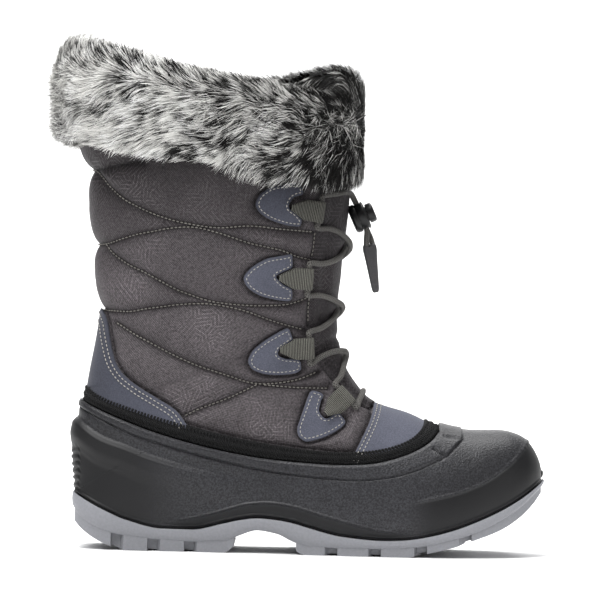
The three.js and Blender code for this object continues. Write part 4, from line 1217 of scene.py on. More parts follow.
def binding_mesh():
    """A braided band: ribbed along its middle, with a plaited edge on each side."""
    low, high = smooth_line(BINDING_LOW, 10), smooth_line(BINDING_HIGH, 10)
    shares = np.array([0, 0.02, 0.09, 0.18, 0.27, 0.36, 0.45, 0.55, 0.64, 0.73, 0.82, 0.91, 0.98, 1.0])
    rise = np.array([0.1, 1.5, 2.2, 2.45, 2.0, 1.9, 2.35, 2.35, 1.9, 2.0, 2.45, 2.2, 1.5, 0.1])
    off_middle = np.abs(shares - 0.5)
    count = 900
    rings, uvs = [], []
    for side in SIDES:
        rows = []
        for share, out in zip(shares, rise):
            rows.append(wrap(low + (high - low) * share, side, 1, grow=GAP, count=count))
        points = np.array(rows).transpose(1, 0, 2)
        along = lengths(points[:, 6])
        normal = sheet_normals(points)
        normal *= side * np.sign(np.mean(normal[count // 3, :, 1]))
        wave = along[:, None] * 2 * math.pi
        ribs = np.abs(np.sin(wave / 2.7)) * np.where(off_middle < 0.2, 0.85, 0)
        slope = np.where(shares < 0.5, 1, -1) * shares * 14
        plait = np.sin(wave / 2.1 + slope) * np.where(off_middle > 0.2, 0.65, 0)
        plait = plait * np.where(off_middle > 0.45, 0.15, 1)
        points = points + normal * (rise[None] + ribs - 0.55 + plait)[:, :, None]
        rings.append(np.concatenate([points, points[:, :1]], axis=1))
        uvs.append(uv_grid(along, np.append(shares, 1.2) * 9.5))
    for end in (0, -1):
        rings[0][end] = rings[1][end] = (rings[0][end] + rings[1][end]) / 2
    return face_out(join([sheet(ring, uv) for ring, uv in zip(rings, uvs)], 0.02))


def form_normal(x, z, side, grow=0.0):
    """The way out of the form at points of the side view."""
    ahead = on_form(x + 0.4, z, side, grow) - on_form(x - 0.4, z, side, grow)
    up = on_form(x, z + 0.4, side, grow) - on_form(x, z - 0.4, side, grow)
    normal = unit_rows(np.cross(ahead, up))
    return np.where(normal[..., 1:2] * side < 0, -normal, normal)


def form_sheets(station, low, high, columns, grow=0.0):
    """The same stretch of the form on both sides, as one mesh."""
    meshes = []
    turn = even_turns(station, low, high, columns, grow)
    for side in SIDES:
        points = surface(station[:, None], side * turn, grow)
        meshes.append(sheet(points, on_surface(points, side)))
    return meshes


def on_surface(points, side):
    """UVs that run along and across a sheet, in millimetres."""
    across = row_lengths(points)
    along = lengths(points[:, points.shape[1] // 2])
    return np.stack([side * across, np.broadcast_to(along[:, None], across.shape)], -1)


def plate_mesh(outline, height_of, side, depth=2.2, cell=3.0):
    """A thin plate cut to an outline of the side view and bent onto one side of the upper."""
    bm = bmesh.new()
    face = bm.faces.new([bm.verts.new((x, 0, z)) for x, z in outline])
    for thickness in (0.35, 0.5, 0.7):
        bmesh.ops.inset_individual(bm, faces=[face], thickness=thickness, depth=0, use_even_offset=False)
    low, high = np.min(outline, 0), np.max(outline, 0)
    for k, axis in enumerate(((1, 0, 0), (0, 0, 1))):
        for at in np.arange(low[k] + cell / 2, high[k], cell):
            slice_at(bm, Vector(axis) * at, axis, dist=0.02)
    bmesh.ops.triangulate(bm, faces=[f for f in bm.faces if len(f.verts) > 4])
    top = extruded(bm)
    verts = list(bm.verts)
    flat = np.array([(v.co.x, v.co.z) for v in verts])
    edge = even_line(np.vstack([outline, outline[:1]]), 0.4)
    inwards = np.min(np.linalg.norm(flat[:, None] - edge[None], axis=2), axis=1)
    height = height_of(*flat.T, inwards)
    height = np.where([v in top for v in verts], height, -depth)
    placed = on_form(*flat.T, side) + form_normal(*flat.T, side) * height[:, None]
    for v, p in zip(verts, placed):
        v.co = Vector(p * MM)
    return mesh_from(bm, outwards=True)


def stitch_frames(path, normals, pitch, length, radius):
    """Places and axes for a row of stitches along a path."""
    along = lengths(path)
    at = np.arange(pitch / 2, along[-1] - pitch / 3, pitch)
    origin, up, ahead = (sample(v, along, at) for v in (path, normals, np.gradient(path, axis=0)))
    ahead = unit_rows(ahead)
    up = unit_rows(up - ahead * np.sum(up * ahead, axis=1)[:, None])
    across = np.cross(up, ahead)
    axes = np.stack([ahead * length / 2, across * radius, up * radius], axis=1)
    return origin, axes


def stitch_mesh(rows):
    """Many stitches as one mesh, each a small pointed bead along its thread."""
    bm = bmesh.new()
    bmesh.ops.create_uvsphere(bm, u_segments=5, v_segments=4, radius=1 * MM)
    bmesh.ops.rotate(bm, verts=bm.verts, cent=(0, 0, 0), matrix=Matrix.Rotation(math.pi / 2, 3, "Y"))
    one = mesh_from(bm)
    origins, axes = (np.concatenate(part) for part in zip(*rows))
    points = origins[:, None, :] + np.einsum("vk,nkj->nvj", read_points(one), axes)
    return repeated(points, [list(p.vertices) for p in one.polygons])


# ---------------------------------------------------------------- pieces of the upper


THROAT_FOOT = 18.9  # the station of the throat's foot
UPPER_TOP, SLANT_FROM = 284, 262  # the upper's level top, and where its slant to the collar's line starts


def collar_top(x):
    """How high the upper's collar is at a place along the boot."""
    return np.interp(x, *np.transpose(COLLAR_EDGE))


def upper_sheets(step, columns, grow):
    """Both sides of the upper's face or lining, from the lap inside the shell to the collar."""
    station = even_stations(-22, level(UPPER_TOP), step)
    station = np.unique(np.concatenate([station, [-22]]))
    fade = smoothstep(THROAT_FOOT, 22, station)
    low = np.where(station < THROAT_FOOT, 0, turn_at(station, THROAT_EDGE, grow) * fade**0.5)
    high = turn_at(station, raised_line(LAP_EDGE, 2), grow)
    meshes = form_sheets(station, low, np.maximum(high, low), columns, grow)
    for mesh in meshes:
        points = read_points(mesh)
        top = collar_top(points[:, 0])
        over = np.maximum(points[:, 2] - SLANT_FROM, 0)
        points[:, 2] += over * (top - UPPER_TOP) / (UPPER_TOP - SLANT_FROM)
        write_points(mesh, points)
    return join(meshes, 0.02)


def tongue_mesh():
    """The padded gusset in the throat, tucked under both edges of the upper and creased at the ankle."""
    station = even_stations(17, level(278), 2.5)
    edge = np.where(station < THROAT_FOOT, 0.02, turn_at(station, THROAT_EDGE))
    edge = np.maximum(edge, 0.05) + 0.16
    shares = np.linspace(-1, 1, 37)
    turn = edge[:, None] * shares[None]
    z = surface(station, 0 * station)[:, 2]
    crease = sum(bead(z - at, 2.6) for at in (147.5, 133, 187))
    fold = 1.7 * np.exp(-(((np.abs(shares) - 0.62) / 0.1) ** 2))
    bulge = 1.6 * (1 - shares**2)[None] - 3.6 * smoothstep(0.72, 0.95, np.abs(shares))[None] - fold[None]
    bulge = bulge - 1.3 * crease[:, None] * (1 - shares**4)[None]
    bulge = bulge + 0.6 * lattice(surface(station[:, None], turn), 14, 51)
    front = surface(station[:, None], turn, 0.0)
    uv = on_surface(front, 1)
    normal = sheet_normals(front)
    normal *= np.sign(np.mean(normal[:, len(shares) // 2, 0]))
    face = front + normal * bulge[..., None]
    lining = front - normal * 4.0
    ring = np.concatenate([face, lining[:, ::-1], face[:, :1]], axis=1)
    ring_uv = np.concatenate([uv, uv[:, ::-1], uv[:, :1]], axis=1)
    mesh = face_out(join([sheet(pinched(ring), ring_uv)], 0.01))
    # a low openness paints the whole tongue darker, as painted shade in the throat
    set_value(mesh, "puff", np.full(len(mesh.vertices), 0.35))
    return mesh


def rolled_edge(distance, thick):
    """How high an overlay stands near its sewn edge, with the groove of its first row of stitches."""
    rolled = (1 - (1 - np.clip(distance / 1.3, 0, 1)) ** 2) ** 0.5
    return -0.4 + thick * rolled - 0.35 * bead(distance - 2.6, 0.7)


def counter_mesh():
    """The heel counter, from its curved front edge down to the binding, over the back of the heel."""

    def sheets(step, columns, grow):
        high_line = raised_line(BINDING_HIGH, UNDER_BINDING)
        dense = np.linspace(50, 92, 2000)
        low, high = turn_at(dense, COUNTER_EDGE, grow), turn_at(dense, high_line, grow)
        open_ = np.flatnonzero((low < high - 1e-3) & (dense > 57))
        station = even_stations(dense[open_[0]], dense[open_[-1]], step, grow)
        low, high = turn_at(station, COUNTER_EDGE, grow), turn_at(station, high_line, grow)
        return join(form_sheets(station, np.minimum(low, high), high, columns, grow), 0.02)

    face = turn_normals_out(sheets(1.7, 46, 0.0))
    points = read_points(face)
    distance = off_lines(points, [COUNTER_EDGE], 0.6)
    height = rolled_edge(distance, 2.0) - 0.3 * bead(distance - 5.6, 0.7) + 0.25 * lattice(points, 18, 61)
    push_out(face, height)
    return wall(face, sheets(4.0, 20, -0.8))


def toe_overlay_mesh():
    """The overlay across the instep, from its rear edge forwards to the binding."""
    binding = raised_line(smooth_line(BINDING_HIGH, 6), UNDER_BINDING)
    binding = binding[binding[:, 0] > 35.6]

    def sheets(rows, columns, grow):
        meshes = []
        shares = np.linspace(0, 1, rows)[:, None]
        edge = TOE_OVERLAY_EDGE[:1] + [(35.6, 60.6)] + TOE_OVERLAY_EDGE[1:]
        for side in SIDES:
            rear = wrap(edge, side, 1, grow, count=columns)
            front = wrap(np.vstack([[(34, 58)], [(35.6, 60.6)], binding]), side, 1, grow, count=columns)
            (a, b), (c, d) = (place(line[:, 0], line[:, 2], grow) for line in (rear, front))
            points = surface(a + (c - a) * shares, side * (b + (d - b) * shares), grow)
            meshes.append(sheet(points, on_surface(points, side)))
        return join(meshes, 0.02)

    face = turn_normals_out(sheets(40, 66, 0.0))
    distance = off_lines(read_points(face), [TOE_OVERLAY_EDGE], 0.6)
    push_out(face, rolled_edge(distance, 1.8))
    return wall(face, sheets(16, 24, -0.8))


def patch_height(loop):
    """How high a lacing patch stands: thin at its edge, and raised over the tape that it holds."""
    angle = math.radians(loop.turn)

    def height(x, z, inwards):
        along = (x - loop.x) * math.cos(angle) + (z - loop.z) * math.sin(angle)
        across = -(x - loop.x) * math.sin(angle) + (z - loop.z) * math.cos(angle)
        half = np.interp(along, *TAPE_HALF)
        over_tape = smoothstep(-22, -16, along) * smoothstep(half + 3.5, half - 0.5, np.abs(across))
        rim = (1 - (1 - np.clip(inwards / 0.9, 0, 1)) ** 2) ** 0.5
        thread = 0.3 * bead(inwards - 1.7, 0.5)
        return -0.6 + rim * (1.5 + 0.5 * smoothstep(1, 6, inwards) + 1.3 * over_tape) - thread

    return height


def laid_path(line, side, height, step=0.7):
    """A line of the side view laid at a height on the upper, with the ways out of it."""
    path = wrap(line, side, step)
    normal = form_normal(path[:, 0], path[:, 2], side)
    return path + normal * np.asarray(height).reshape(-1, 1), normal


def shifted(line, by):
    """A line of the side view moved sideways by some millimetres."""
    line = smooth_line(line, 6)
    ahead = unit_rows(np.gradient(line, axis=0))
    return line + np.column_stack([-ahead[:, 1], ahead[:, 0]]) * by


def pale_stitches(sizes):
    """Cream thread: two rows along the counter and the toe overlay, and one round each patch."""
    rows = []
    pitch, length = sizes.stitch_pitch, sizes.stitch_pitch * 0.68
    for side in SIDES:
        for line, offsets in ((COUNTER_EDGE, (-2.0, -4.6)), (TOE_OVERLAY_EDGE, (-2.0, -4.4))):
            for by in offsets:
                path, normal = laid_path(shifted(line, by), side, 1.75 if line is COUNTER_EDGE else 1.5)
                rows.append(stitch_frames(path, normal, pitch, length, 0.36))
        for outline, loop in zip(PATCHES, LOOPS):
            ring = round_outline(outline)
            ring = np.vstack([ring, ring[:1]])
            inner = inset_ring(ring, 1.7)
            height = patch_height(loop)(*inner.T, np.full(len(inner), 1.7)) + 0.2
            normal = form_normal(*inner.T, side)
            path = on_form(*inner.T, side) + normal * height[:, None]
            rows.append(stitch_frames(path, normal, pitch * 0.95, length * 0.95, 0.34))
    return rows


def inset_ring(ring, by):
    """A closed outline drawn in by some millimetres."""
    ring = even_line(ring, 0.5)[:-1]
    ahead = np.roll(ring, -3, 0) - np.roll(ring, 3, 0)
    normal = unit_rows(np.column_stack([-ahead[:, 1], ahead[:, 0]]))
    if not inside((ring + normal * 0.3)[:1], ring)[0]:
        normal = -normal
    moved = ring + normal * by
    apart = np.min(np.linalg.norm(moved[:, None] - ring[None], axis=2), axis=1)
    return moved[apart > by * 0.8]


def dark_stitches(sizes):
    """Tone-on-tone thread along the quilting seams and the throat."""
    rows = []
    for side in SIDES:
        for line in [*QUILT_SEAMS[1:], LOWER_BRANCH, *THROAT_SEAMS]:
            path, normal = laid_path(line, side, 0.0)
            depth, _ = quilt_depth(path, sizes)
            path = path + normal * (depth + 0.95)[:, None]
            rows.append(stitch_frames(path, normal, sizes.stitch_pitch, 1.9, 0.42))
    return rows


# ---------------------------------------------------------------- lacing


def loop_frame(loop, side):
    """A loop's own place: its middle, and its axes along the tape, out of the upper and along the cord."""
    angle = math.radians(loop.turn)
    step = np.array([math.cos(angle), math.sin(angle)]) * 1.5
    origin = on_form(loop.x, loop.z, side)
    along = unit_rows(on_form(loop.x + step[0], loop.z + step[1], side) - origin)
    up = on_form(loop.x - step[1], loop.z + step[0], side) - origin
    out = unit_rows(np.cross(up, along))
    out = -out if out[1] * side < 0 else out
    return origin, np.array([along, out, np.cross(along, out)])


def bore_end(loop, side, upwards, reach):
    origin, axes = loop_frame(loop, side)
    way = 1 if axes[2, 2] > 0 else -1
    return origin + axes[1] * LOOP_RISE + axes[2] * (way if upwards else -way) * reach


LACE_CLEAR = 2.4  # from the form to the middle of the lace
LEAD = 2.5  # the lace's straight run where it leaves a loop


def strand(start, finish, hump=0.0):
    """Points of a lace strand from one loop round the front to another. Both are (loop, side, upwards)."""
    first = [bore_end(*start, LOOP_REACH + on) for on in (0, LEAD)]
    last = [bore_end(*finish, LOOP_REACH + on) for on in (LEAD, 0)]
    a = place(first[1][0], first[1][2], LACE_CLEAR)
    b = place(last[0][0], last[0][2], LACE_CLEAR)
    middle = []
    for share in np.linspace(0, 1, 10)[1:-1]:
        signed = a[1] * start[1] + (b[1] * finish[1] - a[1] * start[1]) * share
        station = a[0] + (b[0] - a[0]) * smoothstep(0.05, 0.95, share)
        lift = hump * math.exp(-(((share - 0.5) / 0.17) ** 2))
        middle.append(surface(station, signed, LACE_CLEAR + lift))
    return [*first, *middle, *last]


def lace_path():
    """The whole lace from the outer top loop down to the toe and back up to the inner top loop."""
    downwards, upwards = [], []
    over, under = 3.0, -0.5  # which strand passes over the other where they cross
    side = OUTER
    for k in (3, 2, 1):
        downwards += strand((LOOPS[k], side, False), (LOOPS[k - 1], -side, True), over if k % 2 else under)
        side = -side
    bar = strand((LOOPS[0], side, False), (LOOPS[0], -side, False))
    side = -side
    for k in (1, 2, 3):
        upwards += strand((LOOPS[k - 1], side, True), (LOOPS[k], -side, False), under if k % 2 else over)
        side = -side
    top = [bore_end(LOOPS[3], OUTER, True, LOOP_REACH), bore_end(LOOPS[3], OUTER, True, 0)]
    foot = [bore_end(LOOPS[3], side, True, 0), bore_end(LOOPS[3], side, True, LOOP_REACH)]
    return even_line(smooth_line([*top, *downwards, *bar, *upwards, *foot], 10), 0.55)


LACE_END_ROUTE = table(
    "x y z fan",
    (22.5, -26, 221, 0), (28, -16.5, 222.4, 0), (31.2, -7, 221.4, 0), (33.7, -2.6, 217.2, 0),
    (37.9, -2.3, 208, 0), (41.5, -2.3, 199.8, 0.1), (42.9, -1.6, 193.8, 1.5), (43.6, 0, 188.6, 2.1),
)


def lace_end_path(side):
    leaving = [bore_end(LOOPS[3], side, True, LOOP_REACH + on) for on in (0, LEAD)]
    route = [np.array([p.x + side * p.fan, -side * p.y, p.z]) for p in LACE_END_ROUTE]
    return even_line(smooth_line([*leaving, *route], 10), 0.6)


def webbing_mesh(loop, side):
    """One folded tape: a ribbed strip that comes from under its patch, turns round the cord and goes back."""
    origin, axes = loop_frame(loop, side)
    radius = 2.45
    angle = np.linspace(-math.pi / 2, math.pi / 2, 24)
    bend = np.column_stack([radius * np.cos(angle), LOOP_RISE + radius * np.sin(angle)])
    low = [(-19, 0.2), (-12, 0.6), (-5, 0.8)]
    high = [(-3.2, LOOP_RISE + 2.2), (-6.5, LOOP_RISE + 0.4), (-10, 2.6), (-14, 1.9), (-19, 1.2)]
    path = even_line(smooth_line(np.vstack([low, bend, high]), 6), 0.3)
    ahead = unit_rows(np.gradient(path, axis=0))
    out = np.column_stack([ahead[:, 1], -ahead[:, 0]])
    along = np.arange(len(path)) * 0.3
    rib = 0.26 * np.abs(np.sin(along * math.pi * MM / TAPE_PITCH)) ** 0.7
    half = np.interp(path[:, 0], *TAPE_HALF)
    across = np.array([-1, -0.97, -0.5, 0, 0.5, 0.97, 1])
    edge = np.array([0, 0.85, 1, 1, 1, 0.85, 0])
    faces = []
    width = half[:, None] * across
    for way in (1, -1):
        thick = way * (0.32 + rib)[:, None] * edge
        local = path[:, None] + out[:, None] * thick[:, :, None]
        placed = origin + local[..., :1] * axes[0] + local[..., 1:] * axes[1]
        faces.append(placed + width[..., None] * axes[2])
    ring = pinched(np.concatenate([faces[0], faces[1][:, ::-1][:, 1:]], axis=1))
    uv = uv_grid(along - 0.255, np.arange(ring.shape[1]) * 1.0)
    return face_out(join([sheet(ring, uv)], 0.01))


Lock = namedtuple("Lock", "x z tilt radius length")
LOCK = Lock(36.6, 207.4, 24, 9.0, 10.0)


def spun(profile, steps=48):
    """A turned part on the lock's axis, from (radius, height) points."""
    bm, verts, edges = wire([(r * MM, 0, h * MM) for r, h in profile])
    bmesh.ops.spin(
        bm, geom=verts + edges, cent=(0, 0, 0), axis=(0, 0, 1), angle=2 * math.pi, steps=steps,
        use_merge=True,
    )
    bmesh.ops.remove_doubles(bm, verts=bm.verts, dist=0.002 * MM)
    return mesh_from(bm, outwards=True)


def set_lock(mesh):
    """Tilts a part on the lock's axis and sets it in place, its open face forwards."""
    turn = Matrix.Rotation(math.pi / 2, 4, "Y")
    tilt = Matrix.Rotation(-math.radians(LOCK.tilt), 4, "Y")
    mesh.transform(Matrix.Translation(Vector((LOCK.x, 0, LOCK.z)) * MM) @ tilt @ turn)
    mesh.update()
    return mesh


def cut(mesh, cutter):
    """A mesh with another taken out of it."""
    target, tool = linked("target", mesh), linked("tool", cutter)
    modifier = target.modifiers.new("cut", "BOOLEAN")
    modifier.object, modifier.operation, modifier.solver = tool, "DIFFERENCE", "EXACT"
    shaped = bpy.data.meshes.new_from_object(target.evaluated_get(bpy.context.evaluated_depsgraph_get()))
    for obj in (target, tool):
        bpy.data.objects.remove(obj)
    return shaped


def cord_slot(low, high):
    bm = bmesh.new()
    bmesh.ops.create_cube(bm, size=1)
    bmesh.ops.scale(bm, vec=Vector((27, 9.2, high - low)) * MM, verts=bm.verts)
    bmesh.ops.translate(bm, vec=(0, 0, (low + high) / 2 * MM), verts=bm.verts)
    upright = [e for e in bm.edges if abs((e.verts[0].co - e.verts[1].co).normalized().x) > 0.9]
    round_edges(bm, upright, 1.6, 4)
    return mesh_from(bm)


def barrel_mesh():
    r = LOCK.radius
    profile = [
        (0, -5), (r - 2.4, -5), (r - 1.2, -4.75), (r - 0.4, -4.1), (r, -3.2), (r, -1.2), (r - 0.25, -1.0),
        (r - 0.25, -0.6), (r, -0.4), (r, 3.6), (r - 0.3, 4.4), (r - 1, 4.9), (r - 1.7, 5), (r - 2.3, 4.7),
        (6.4, 4.2), (6.4, -4.2), (0, -4.2),
    ]
    return set_lock(cut(spun(profile), cord_slot(-0.7, 3.7)))


def button_mesh():
    profile = [
        (0, -1.9), (6.1, -1.9), (6.1, 6.6), (6.1, 7.2), (6.1, 8.6), (5.9, 9.3), (5.3, 9.8), (4.4, 10),
        (3.6, 9.85), (0, 9.6),
    ]
    return set_lock(cut(spun(profile), cord_slot(-0.7, 5.7)))


def tab_mesh():
    """The moulded end of the lace: a flat taper with a notched top and fine cross ribs."""
    top, foot = np.array([43.1, 191.0]), np.array([48.0, 161.0])
    length = np.linalg.norm(foot - top)
    down = np.linspace(0, length, 120)
    places = [0, 1.2, 4, 9, length - 2, length - 0.6, length]
    wide = np.interp(down, places, [3.4, 4.2, 4.4, 3.8, 2.3, 1.9, 1.2])
    thick = np.interp(down, [0, 1.0, 6, length - 2, length], [1.5, 2.2, 2.25, 1.8, 1.0])
    ribs = 0.16 * np.maximum(0, np.sin(down * 2 * math.pi / 1.3)) * ((down > 7) & (down < length - 3))
    angle = np.linspace(0, 2 * math.pi, 25)
    # the section is a rectangle with well rounded corners
    c, q = (np.sign(v) * np.abs(v) ** 0.6 for v in (np.cos(angle), np.sin(angle)))
    axis = (foot - top) / length
    middle = top + axis * down[:, None]
    normal = np.array([-axis[1], axis[0]])
    depth = -2.4 * np.maximum(0, 1 - np.abs(c) * 2.4) * np.exp(-down / 1.5)[:, None]
    x = middle[:, :1] + normal[0] * (wide + ribs)[:, None] * c + axis[0] * -depth
    z = middle[:, 1:] + normal[1] * (wide + ribs)[:, None] * c + axis[1] * -depth
    y = (thick + ribs)[:, None] * q[None]
    points = np.stack([x, y, z], -1)
    caps = [np.tile(points[k].mean(axis=0), (1, len(angle), 1)) for k in (0, -1)]
    return face_out(join([sheet(np.concatenate([caps[0], points, caps[1]]))], 0.005))


# ---------------------------------------------------------------- fur


def cuff_ring(angle):
    """The section of the cuff's hide at an angle round the collar: up outside, over and down inside."""
    top, foot, thick = (float(column(CUFF, name, angle)) for name in ("top", "foot", "thick"))
    side = OUTER if angle <= 180 else INNER
    turn = math.radians(angle if angle <= 180 else 360 - angle)
    edge_x = float(surface(level(285), side * turn)[0])
    collar = float(collar_top(edge_x))
    top += 5.5 * bead(angle - 332, 22) + 3 * bead(angle - 180, 50)
    body = thick - 3.6
    outer = [
        (0.3, foot + 5), (body * 0.55, foot + 3.5), (body * 0.9, foot + 8), (body, foot + 18),
        (body, top - 30), (body * 0.8, top - 17), (body * 0.35, top - 8.5), (-2.5, top - 5.5),
        (-6.5, top - 8.5), (-9, top - 16), (-9.3, top - 26), (-9, foot + 34), (-5.6, foot + 33),
    ]
    inner = [(-5.5, collar - 6), (-5.4, collar + 0.8), (0.3, collar + 0.8), (0.3, foot + 5)]
    section = np.vstack([even_line(smooth_line(outer, 8), 2.2), even_line(inner, 5)[1:]])
    out, z = cut_evenly(section, 72).T
    return surface(level(z), side * turn, out)


def cuff_grid():
    fine = np.linspace(0, 360, 721)
    turn = np.where(fine <= 180, OUTER, INNER) * np.radians(np.minimum(fine, 360 - fine))
    along = lengths(surface(level(270), turn, 5))
    angles = np.interp(np.linspace(0, along[-1], 121), along, fine)
    grid = np.array([cuff_ring(a) for a in angles])
    grid[-1] = grid[0]
    return grid


SHOWN_SHARE = 0.7  # how much of the hide's section carries fur; the rest lies against the upper
FUR_SEED = 41


def pile(grid, count, random):
    """Roots, ways out and flows of the pile, spread evenly over the hide that shows."""
    rows, columns = grid.shape[:2]
    shown = int(columns * SHOWN_SHARE)
    a, b, c, d = grid[:-1, : shown - 1], grid[1:, : shown - 1], grid[1:, 1:shown], grid[:-1, 1:shown]
    cross = np.cross(c - a, b - d)
    area = np.linalg.norm(cross, axis=2)
    picked = random.choice(area.size, count, p=(area / area.sum()).ravel())
    i, j = np.unravel_index(picked, area.shape)
    u, v = random.random((2, count, 1))
    root = a[i, j] * (1 - u) * (1 - v) + b[i, j] * u * (1 - v) + c[i, j] * u * v + d[i, j] * (1 - u) * v
    out = cross[i, j] / area[i, j][:, None]
    up = unit_rows(d[i, j] - a[i, j])
    height = (j + v[:, 0]) / (columns * SHOWN_SHARE)
    turn = (i + u[:, 0]) / (rows - 1) * 360
    return root, out, up, height, turn


def fur_meshes(sizes, colours):
    """The pile, as flat tapering strands that clump, flow backwards and curl down at the ends."""
    random = np.random.default_rng(FUR_SEED)
    grid = cuff_grid()
    centre = grid.mean(axis=(0, 1))
    count = int(sizes.fur_strands * (1))
    root, out, up, height, turn = pile(grid, count, random)
    if np.mean(np.sum((root - centre) * out, axis=1)[height < 0.5]) < 0:
        out = -out
    outside = height < 0.52
    back = np.array([-1.0, 0, -0.12])
    flow = back + up * (1.9 * smoothstep(0.36, 0.52, height) - 0.75 * smoothstep(0.12, 0.0, height))[:, None]
    front = smoothstep(-8, 22, root[:, 0]) * smoothstep(0.42, 0.32, height)
    flow = flow + (up * (-0.9 + 1.6 * smoothstep(0.1, 0.5, height))[:, None] + [0.9, 0, 0]) * front[:, None]
    swirl = np.stack([lattice(root, 19, k) for k in (11, 12, 13)], -1)
    wild = np.stack([lattice(root, 7, k) for k in (14, 15, 16)], -1)
    flow = flow + swirl * 0.75 + wild * 0.45 + random.normal(0, 0.16, root.shape)
    flow = unit_rows(flow - out * np.sum(flow * out, axis=1)[:, None] * 0.9)
    # strands gather into locks: each leans towards the nearest of a scatter of lock tips
    locks = root[random.choice(count, count // 11, replace=False)]
    _, nearest_lock = nearest(root, locks)
    gather = locks[nearest_lock] - root
    lock_seed = random.random(len(locks))[nearest_lock]
    long = sizes.fur_length * (0.72 + 0.4 * random.random(count)) * np.where(outside, 1, 0.85)
    long = long * (0.9 + 0.25 * lattice(root, 16, 21)) * (1 - 0.25 * smoothstep(0.1, 0.0, height))
    lift = 0.55 + 0.25 * lattice(root, 11, 22) + 0.5 * bead(height - 0.5, 0.12) + random.normal(0, 0.1, count)
    lift += 0.5 * smoothstep(8, 26, root[:, 0])
    points = [root - out * 0.4]
    for share in (0.5, 1.0):
        lean = out * (lift * (1 - 0.45 * share))[:, None] + flow * (0.45 + 0.75 * share)
        sag = np.array([0, 0, 1]) * (long * 0.1 * share**2)[:, None]
        points.append(root + unit_rows(lean) * (long * share)[:, None] + gather * (0.6 * share) - sag)
    spine = np.stack(points, 1)
    ahead = unit_rows(np.gradient(spine, axis=1))
    facing = unit_rows(out[:, None] + random.normal(0, 0.35, (count, 1, 3)))
    across = unit_rows(np.cross(ahead, np.broadcast_to(facing, ahead.shape)))
    thick = sizes.fur_thickness / 2 * (0.75 + 0.5 * random.random(count))
    widths = thick[:, None] * np.array([1.0, 0.9])
    left = spine[:, :2] - across[:, :2] * widths[..., None]
    right = spine[:, :2] + across[:, :2] * widths[..., None]
    verts = np.concatenate([np.stack([left, right], 2).reshape(count, 4, 3), spine[:, 2:]], axis=1)
    # marled colour: dark roots, and tips that are pale, grey or black lock by lock
    patch = lattice(root, 15, 31) * 0.4 + lattice(root, 5, 32) * 0.55 + (lock_seed - 0.5) * 1.9
    patch += random.normal(0, 0.4, count)
    # painted shade: darker at the front (most on the outer side), along the inner top and in a low hollow,
    # eased at the back
    far_side = 0.85 * smoothstep(0, 12, root[:, 1])
    painted_fur_shade = (1.35 - far_side) * smoothstep(-20, 22, root[:, 0]) + 0.7 * smoothstep(0.38, 0.5, height)
    hollow = bead(root[:, 0] + 22, 26) * smoothstep(0.3, 0.1, height)
    painted_fur_shade += 0.45 * hollow - 0.75 * smoothstep(-20, -115, root[:, 0])
    pale = 1 / (1 + np.exp(-(patch - painted_fur_shade * 0.6 + 0.03) * 12))
    tip = 0.01 + 0.99 * pale
    shades = (colours.fur_dark, colours.fur_light)
    dark, light = (np.array(linear(np.array(shade) * 255)[:3]) for shade in shades)
    levels = np.array([0.02, 0.02, 0.62, 0.62, 1.0])
    mixed = (levels[None] * tip[:, None])[..., None]
    colour = dark * (1 - mixed) + light * mixed
    colour = colour * (1 + 0.18 * lattice(root, 9, 35))[:, None, None]
    meshes = []
    for low, high in ((0, 90), (90, 180), (180, 270), (270, 360.1)):
        take = (turn >= low) & (turn < high)
        meshes.append(strand_mesh(verts[take], colour[take]))
    return meshes, grid


def strand_mesh(verts, colour):
    """Strands of five points each: a quad and a pointed end."""
    mesh = repeated(verts, [[0, 1, 3, 2], [2, 3, 4]])
    rgba = np.ones((len(mesh.vertices), 4), np.float32)
    rgba[:, :3] = np.clip(colour, 0, 1).reshape(-1, 3)
    mesh.color_attributes.new("strand", "FLOAT_COLOR", "POINT").data.foreach_set("color", rgba.ravel())
    return mesh


# ---------------------------------------------------------------- what a user can change


def number(name, description, default, **limits):
    return FloatProperty(name=name, description=description, default=default, **limits)


class BootSizes(bpy.types.PropertyGroup):
    quilt_depth: number("Quilt depth", "How far the quilting puffs out, in mm", 6.4, min=0, max=9)
    quilt_slope: number("Quilt slope", "How soon it rises beside a seam, in mm", 6.0, min=0.5)
    fur_length: number("Fur length", "Length of the pile, in mm", 13.5, min=2)
    fur_thickness: number("Fur thickness", "Width of one strand, in mm", 0.34, min=0.05)
    fur_strands: IntProperty(
        name="Fur strands", description="How many strands the cuff carries", default=130000, min=100,
    )
    cord_radius: number("Cord radius", "Radius of the elastic lace", 0.0018, unit="LENGTH", min=0.0005)
    stitch_pitch: number("Stitch pitch", "From one stitch to the next, in mm", 2.7, min=1)


def colour_property(name, description, shade):
    return FloatVectorProperty(
        name=name, description=description, subtype="COLOR_GAMMA", size=3, min=0, max=1,
        default=[c / 255 for c in shade],
    )


class BootColours(bpy.types.PropertyGroup):
    textile: colour_property("Textile", "The quilted nylon", (71, 67, 69))
    suede: colour_property("Suede", "Patches, heel counter and toe overlay", (78, 80, 91))
    shell: colour_property("Shell", "The moulded rubber", (23, 23, 25))
    sole: colour_property("Sole", "The lugged outsole", (130, 131, 136))
    fur_dark: colour_property("Fur, dark", "The pile's roots and dark hairs", (17, 16, 16))
    fur_light: colour_property("Fur, light", "The pile's pale tips", (255, 254, 250))


# ---------------------------------------------------------------- operators


def sizes_of(context):
    return context.scene.boot_sizes


def finish_of(context):
    return finishes(context.scene.boot_colours)


# The view: its distance and width at the boot, the middle it aims at, and its roll in degrees.
VIEW_FAR, VIEW_WIDE = 2400, 372
VIEW_AIM = (1.03, 0, 155.33)
VIEW_ROLL = 1.29
SENSOR = 36


